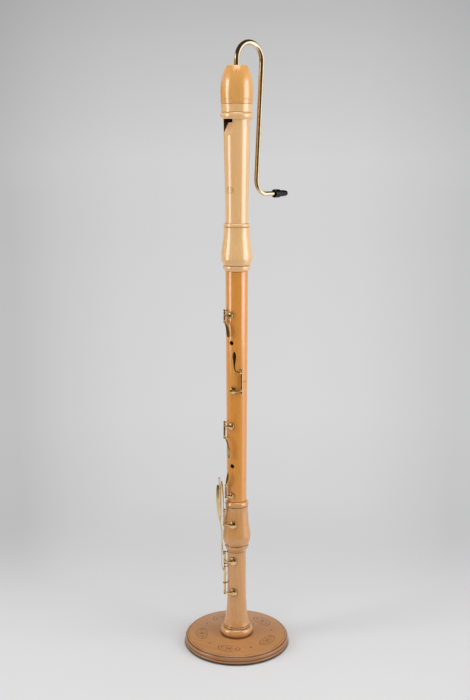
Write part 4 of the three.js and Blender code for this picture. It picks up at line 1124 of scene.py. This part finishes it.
def hinge_tube(key):
    """The drawn tube, with a turned collar at each end."""
    low, high = key["posts"][0] + 3.3, key["posts"][1] - 3.3
    thin, thick = tube_radius - 0.2, tube_radius + 0.35
    runs = [[(1.4, low), (thin, low)]]
    for start in (low + 0.05, high - 1.55):
        end = start + 1.5
        runs += [
            [(tube_radius, start + 0.1)],
            [(thick, start + 0.3), (thick, end - 0.3), (tube_radius, end - 0.05)],
            [(tube_radius - 0.25, end), (tube_radius, end + 0.1)]]
    runs[-1][-1] = (thin, high)
    bm = turned(drawn_outline(*runs, [(1.4, high)], [(1.4, low)]), 40)
    bmesh.ops.translate(bm, verts=bm.verts, vec=at(key["rod_turn"], key["rod_distance"], 0))
    return bm


def ball_post(key, wood_radius, height, collar=False):
    """A post turned from brass rod: a screw in the wood, a small foot, a waist, and a ball that
    holds the end of the hinge rod. The collar kind is a ring that steadies a long tube halfway."""
    reach = key["rod_distance"]
    screw_end, foot_end = wood_radius - post_sink, wood_radius - 0.5
    runs = [
        [(0, screw_end), (1.5, screw_end)], [(1.5, foot_end)], [(2.9, foot_end)],
        [(2.9, wood_radius + 0.2), (2.5, wood_radius + 0.7), (1.7, wood_radius + 1.0)]]
    if collar:
        runs += [[(1.5, reach - 4.4), (1.5, reach - 3.4)], [(0, reach - 3.4)]]
    else:
        ball = [spot_at(turn, 3, 0) for turn in range(35, 180, 18)]
        runs += [[(1.4, reach - 3.3), (1.5, reach - 2.7)],
                 [*[(spot.x, reach + spot.y) for spot in ball], (0, reach + 3)]]
    bm = placed(turned(drawn_outline(*runs), 36), along_turn(key["rod_turn"], height))
    if collar:
        ring = turned(drawn_outline(
            [(2.7, -1.6), (3.8, -1.6), (4.1, -1.3)], [(4.1, -0.4), (3.9, 0), (4.1, 0.4), (4.1, 1.3)],
            [(3.8, 1.6), (2.7, 1.6)], [(2.7, -1.6)]), 48)
        bmesh.ops.translate(ring, verts=ring.verts, vec=at(key["rod_turn"], reach, height))
        merged(bm, ring)
    return bm


def hinge_rod(key):
    """The steel rod, with a screwdriver slot in its upper end."""
    low, high = key["posts"][0] - 3.05, key["posts"][1] + 3.15
    rod = turned(drawn_outline(
        [(0, low), (0.9, low), (1.1, low + 0.2)], [(1.1, high - 0.2)], [(0.9, high)], [(0, high)]), 24)
    rod = bored(rod, [thing_of(block_of(0.4, 4, 0.9, (0, 0, high), 35), "slot")])
    bmesh.ops.translate(rod, verts=rod.verts, vec=at(key["rod_turn"], key["rod_distance"], 0))
    return rod


def leather_pad(key):
    """The pad, with the round dent that the hole's edge has pressed into it."""
    hole, pad = key["hole"], key["cup_radius"] - 1.2
    outline = drawn_outline(
        [(0, 0.3), (hole - 0.8, 0.32), (hole, 0.48), (hole + 0.8, 0.32), (pad - 0.7, 0.34), (pad - 0.1, 0.7),
         (pad, 1.3)], [(pad, 2.6)], [(0, 2.6)])
    return placed(turned(outline, 56), opened(key) @ on_seat(key))


def needle_spring(key, wood_radius):
    """A blued steel needle, driven into the wood and bent over to press on the hinge tube."""
    thickness, sunk = 0.9, 3.5
    away = -math.copysign(34, key["cup_turn"] - key["rod_turn"])
    start = wood_radius + thickness
    end = key["rod_distance"] - tube_radius - thickness * 1.5
    spots = [at(key["rod_turn"] + away, wood_radius - sunk, key["spring"])]
    for share in (0, 0.06, 0.2, 0.35, 0.5, 0.65, 0.8, 0.9, 1):
        distance = start + (end - start) * share
        spots.append(at(key["rod_turn"] + away * (1 - share), distance, key["spring"]))
    frames = []
    for i, spot in enumerate(spots):
        ahead = spots[min(i + 1, len(spots) - 1)] - spots[max(i - 1, 0)]
        frames.append(Matrix.Translation(spot) @ ahead.to_track_quat("Z", "X").to_matrix().to_4x4())
    bm = bmesh.new()
    bmesh.ops.create_circle(bm, cap_ends=True, segments=10, radius=thickness / 2 * mm)
    soften_edges(swept(bm, frames), 50)
    return bm


leather, shader, place = new_material("pad_leather")
crease = new_node(place.id_data, "ShaderNodeTexVoronoi", feature="DISTANCE_TO_EDGE")
tune(crease, Scale=1800)
link(place, crease.inputs["Vector"])
skin = noise(place, 300, 4)
link(mixed(skin, colour(216, 200, 170), colour(196, 176, 142)), shader.inputs["Base Color"])
tune(shader, Roughness=0.6)
bumped(shader, crease.outputs["Distance"], 0.3, 0.00008)

# Touches: rows of [turn, distance, height, width] from the hinge tube to the tip, and where the blade
# doesn't face straight out, the turn it faces.
touches = {
    "key_1": [
        (-33.5, 31.9, 788.4, 3.8), (-30, 34.2, 782.8, 3.8), (-20.3, 35.0, 777.0, 4.6),
        (-13.3, 35.0, 771.6, 6.2), (-9.1, 34.5, 765.4, 8.4), (-7.1, 33.6, 757.5, 10.0),
        (-6.4, 33.0, 751.8, 10.2), (-6.5, 32.5, 744.8, 8.4)],
    "key_3": [
        (51, 29.8, 661.5, 3.4), (44, 31.8, 663.2, 3.3), (34, 32.9, 665.2, 3.3), (26, 32.4, 667.4, 3.3),
        (21.4, 31.6, 670.4, 3.3), (19.2, 30.9, 676, 3.6), (18.7, 30.3, 684, 4.8), (18.9, 30.2, 692, 7.4),
        (18.9, 30.2, 700, 9.6), (18.9, 30.3, 706.9, 8.6), (18.9, 30.4, 711.2, 4.4)],
    "key_4": [
        (-35.5, 31.9, 515.8, 3.4), (-27, 34.4, 513.5, 3.4), (-16.3, 35.4, 509.5, 3.6),
        (-8.6, 35.6, 503.5, 4.2), (-5.2, 35.0, 495.4, 5.2), (-3.3, 34.2, 484.7, 7.0), (-3, 33.2, 475, 8.9),
        (-3.8, 32.6, 466.5, 8.8), (-4, 32.4, 461.0, 5.0)],
    "key_6": [
        (-31, 30.1, 384.9, 3.3), (-28.5, 32.6, 387.5, 3.3), (-22, 33.4, 392.8, 4.2),
        (-15.8, 34.0, 400, 5.8), (-12.1, 33.6, 409.6, 7.8), (-9.8, 32.8, 418.1, 7.4),
        (-9.7, 32.0, 424.3, 5.4), (-9.8, 31.6, 428.8, 2.4)],
    "key_6_low": [
        (-35, 33.5, 321.9, 3.5), (-33.5, 35.4, 326, 3.5), (-30.5, 36.2, 334, 3.4), (-27.8, 36.6, 346, 3.3),
        (-27.3, 37.0, 360.7, 3.4), (-29.1, 37.6, 377.5, 4.0, -24), (-31.6, 38.2, 391.1, 6.0, -20),
        (-34.1, 38.6, 398.9, 6.8, -20), (-35, 38.8, 405.4, 2.8, -20)],
    "key_7": [
        (-41, 31.1, 217.9, 4.0), (-47, 32.0, 220.8, 4.0), (-55, 32.6, 226.4, 4.0), (-64, 33.8, 239.7, 4.2),
        (-70, 35.6, 256.2, 4.4), (-71, 36.2, 268.7, 4.4), (-68, 36.6, 284, 4.4), (-58, 37.8, 300, 4.4),
        (-45, 39.0, 313, 4.4), (-37.5, 40.0, 324, 4.4), (-35.3, 40.8, 333, 4.6, -30),
        (-35, 41.2, 343, 4.8, -24), (-33.3, 41.6, 360.3, 5.0, -20), (-32.7, 42.0, 380, 5.0, -20),
        (-32.7, 43.0, 392.2, 5.0, -18), (-33.3, 44.3, 400.7, 5.2, -16), (-32.9, 45.6, 407.5, 6.6, -14),
        (-31.7, 46.2, 412.7, 7.6, -14), (-31, 46.5, 416.3, 3.4, -14)],
    "key_7_low": [
        (-41, 31.1, 179.5, 4.4), (-42, 33.2, 184.2, 4.4), (-45, 35.9, 189.8, 4.6), (-46.5, 36.5, 198.4, 4.6),
        (-47, 36.5, 219.8, 4.6), (-46.5, 36.8, 243, 4.6), (-42, 37.0, 258, 4.6), (-38, 37.3, 271, 4.6),
        (-35.8, 38.6, 284.7, 4.8), (-35.5, 40.5, 297.2, 5.4, -30), (-36.3, 43.0, 310.9, 6.2, -24),
        (-37, 45.5, 325.8, 7.6, -18), (-36.2, 47.5, 341, 9.0, -13), (-34.7, 48.5, 361, 10.2, -10),
        (-34.6, 48.5, 378, 10.2, -10), (-34, 48.4, 392.7, 9.6, -10), (-33.9, 48.2, 397.6, 5.6, -10)],
}


def foot_radius(height):
    """The radius of the foot where a post or a spring goes in."""
    near = sorted(foot_outline, key=lambda point: abs(point.z - height * mm))
    return max(point.x for point in near[:3]) / mm


of_middle = [("middle", name, key, middle_radius) for name, key in middle_keys.items()]
of_foot = [("foot", name, key, foot_radius) for name, key in foot_keys.items()]
for joint, name, key, radius_at in of_middle + of_foot:
    lever = placed(merged(pad_cup(key), cup_arm(key)), opened(key))
    merged(lever, hinge_tube(key))
    put(lever, name + "_cup_and_tube", key_brass, name, "brass", name + "_lever")
    touch = put(touch_bar(touches[name]), name + "_touch", key_brass, name, "brass", name + "_lever")
    rounding = touch.modifiers.new("rounding", "SUBSURF")
    rounding.levels = 2
    rounding.render_levels = 2
    put(leather_pad(key), name + "_leather", leather, name, "leather", name + "_pad")
    put(hinge_rod(key), name + "_hinge_rod", steel, joint, "steel", name + "_rod")
    for height, end in zip(key["posts"], ("_post_low", "_post_high")):
        post = ball_post(key, radius_at(height), height)
        put(post, name + end + "_turned", key_brass, joint, "brass", name + end)
    spring = needle_spring(key, radius_at(key["spring"]))
    put(spring, name + "_needle", steel, joint, "steel", name + "_spring")
guide_height = 151.78
guide = ball_post(foot_keys["key_7_low"], foot_radius(guide_height), guide_height, collar=True)
put(guide, "key_7_low_guide_turned", key_brass, "foot", "brass", "key_7_low_post_guide")

# The lamps light the wood, the felt and the floor. Polished brass mirrors the room alone, in which
# the same lamps stand as even white panels, so that their glare doesn't bleach the thin tubes.
metalwork = bpy.data.collections.new("metalwork")
for thing in bpy.context.scene.objects:
    if thing.type == "MESH" and thing.data.materials[0] in (bocal_brass, key_brass, steel):
        metalwork.objects.link(thing)
for held in metalwork.collection_objects:
    held.light_linking.link_state = "EXCLUDE"
for light in (left_lamp, right_lamp, top_lamp):
    light.light_linking.receiver_collection = metalwork
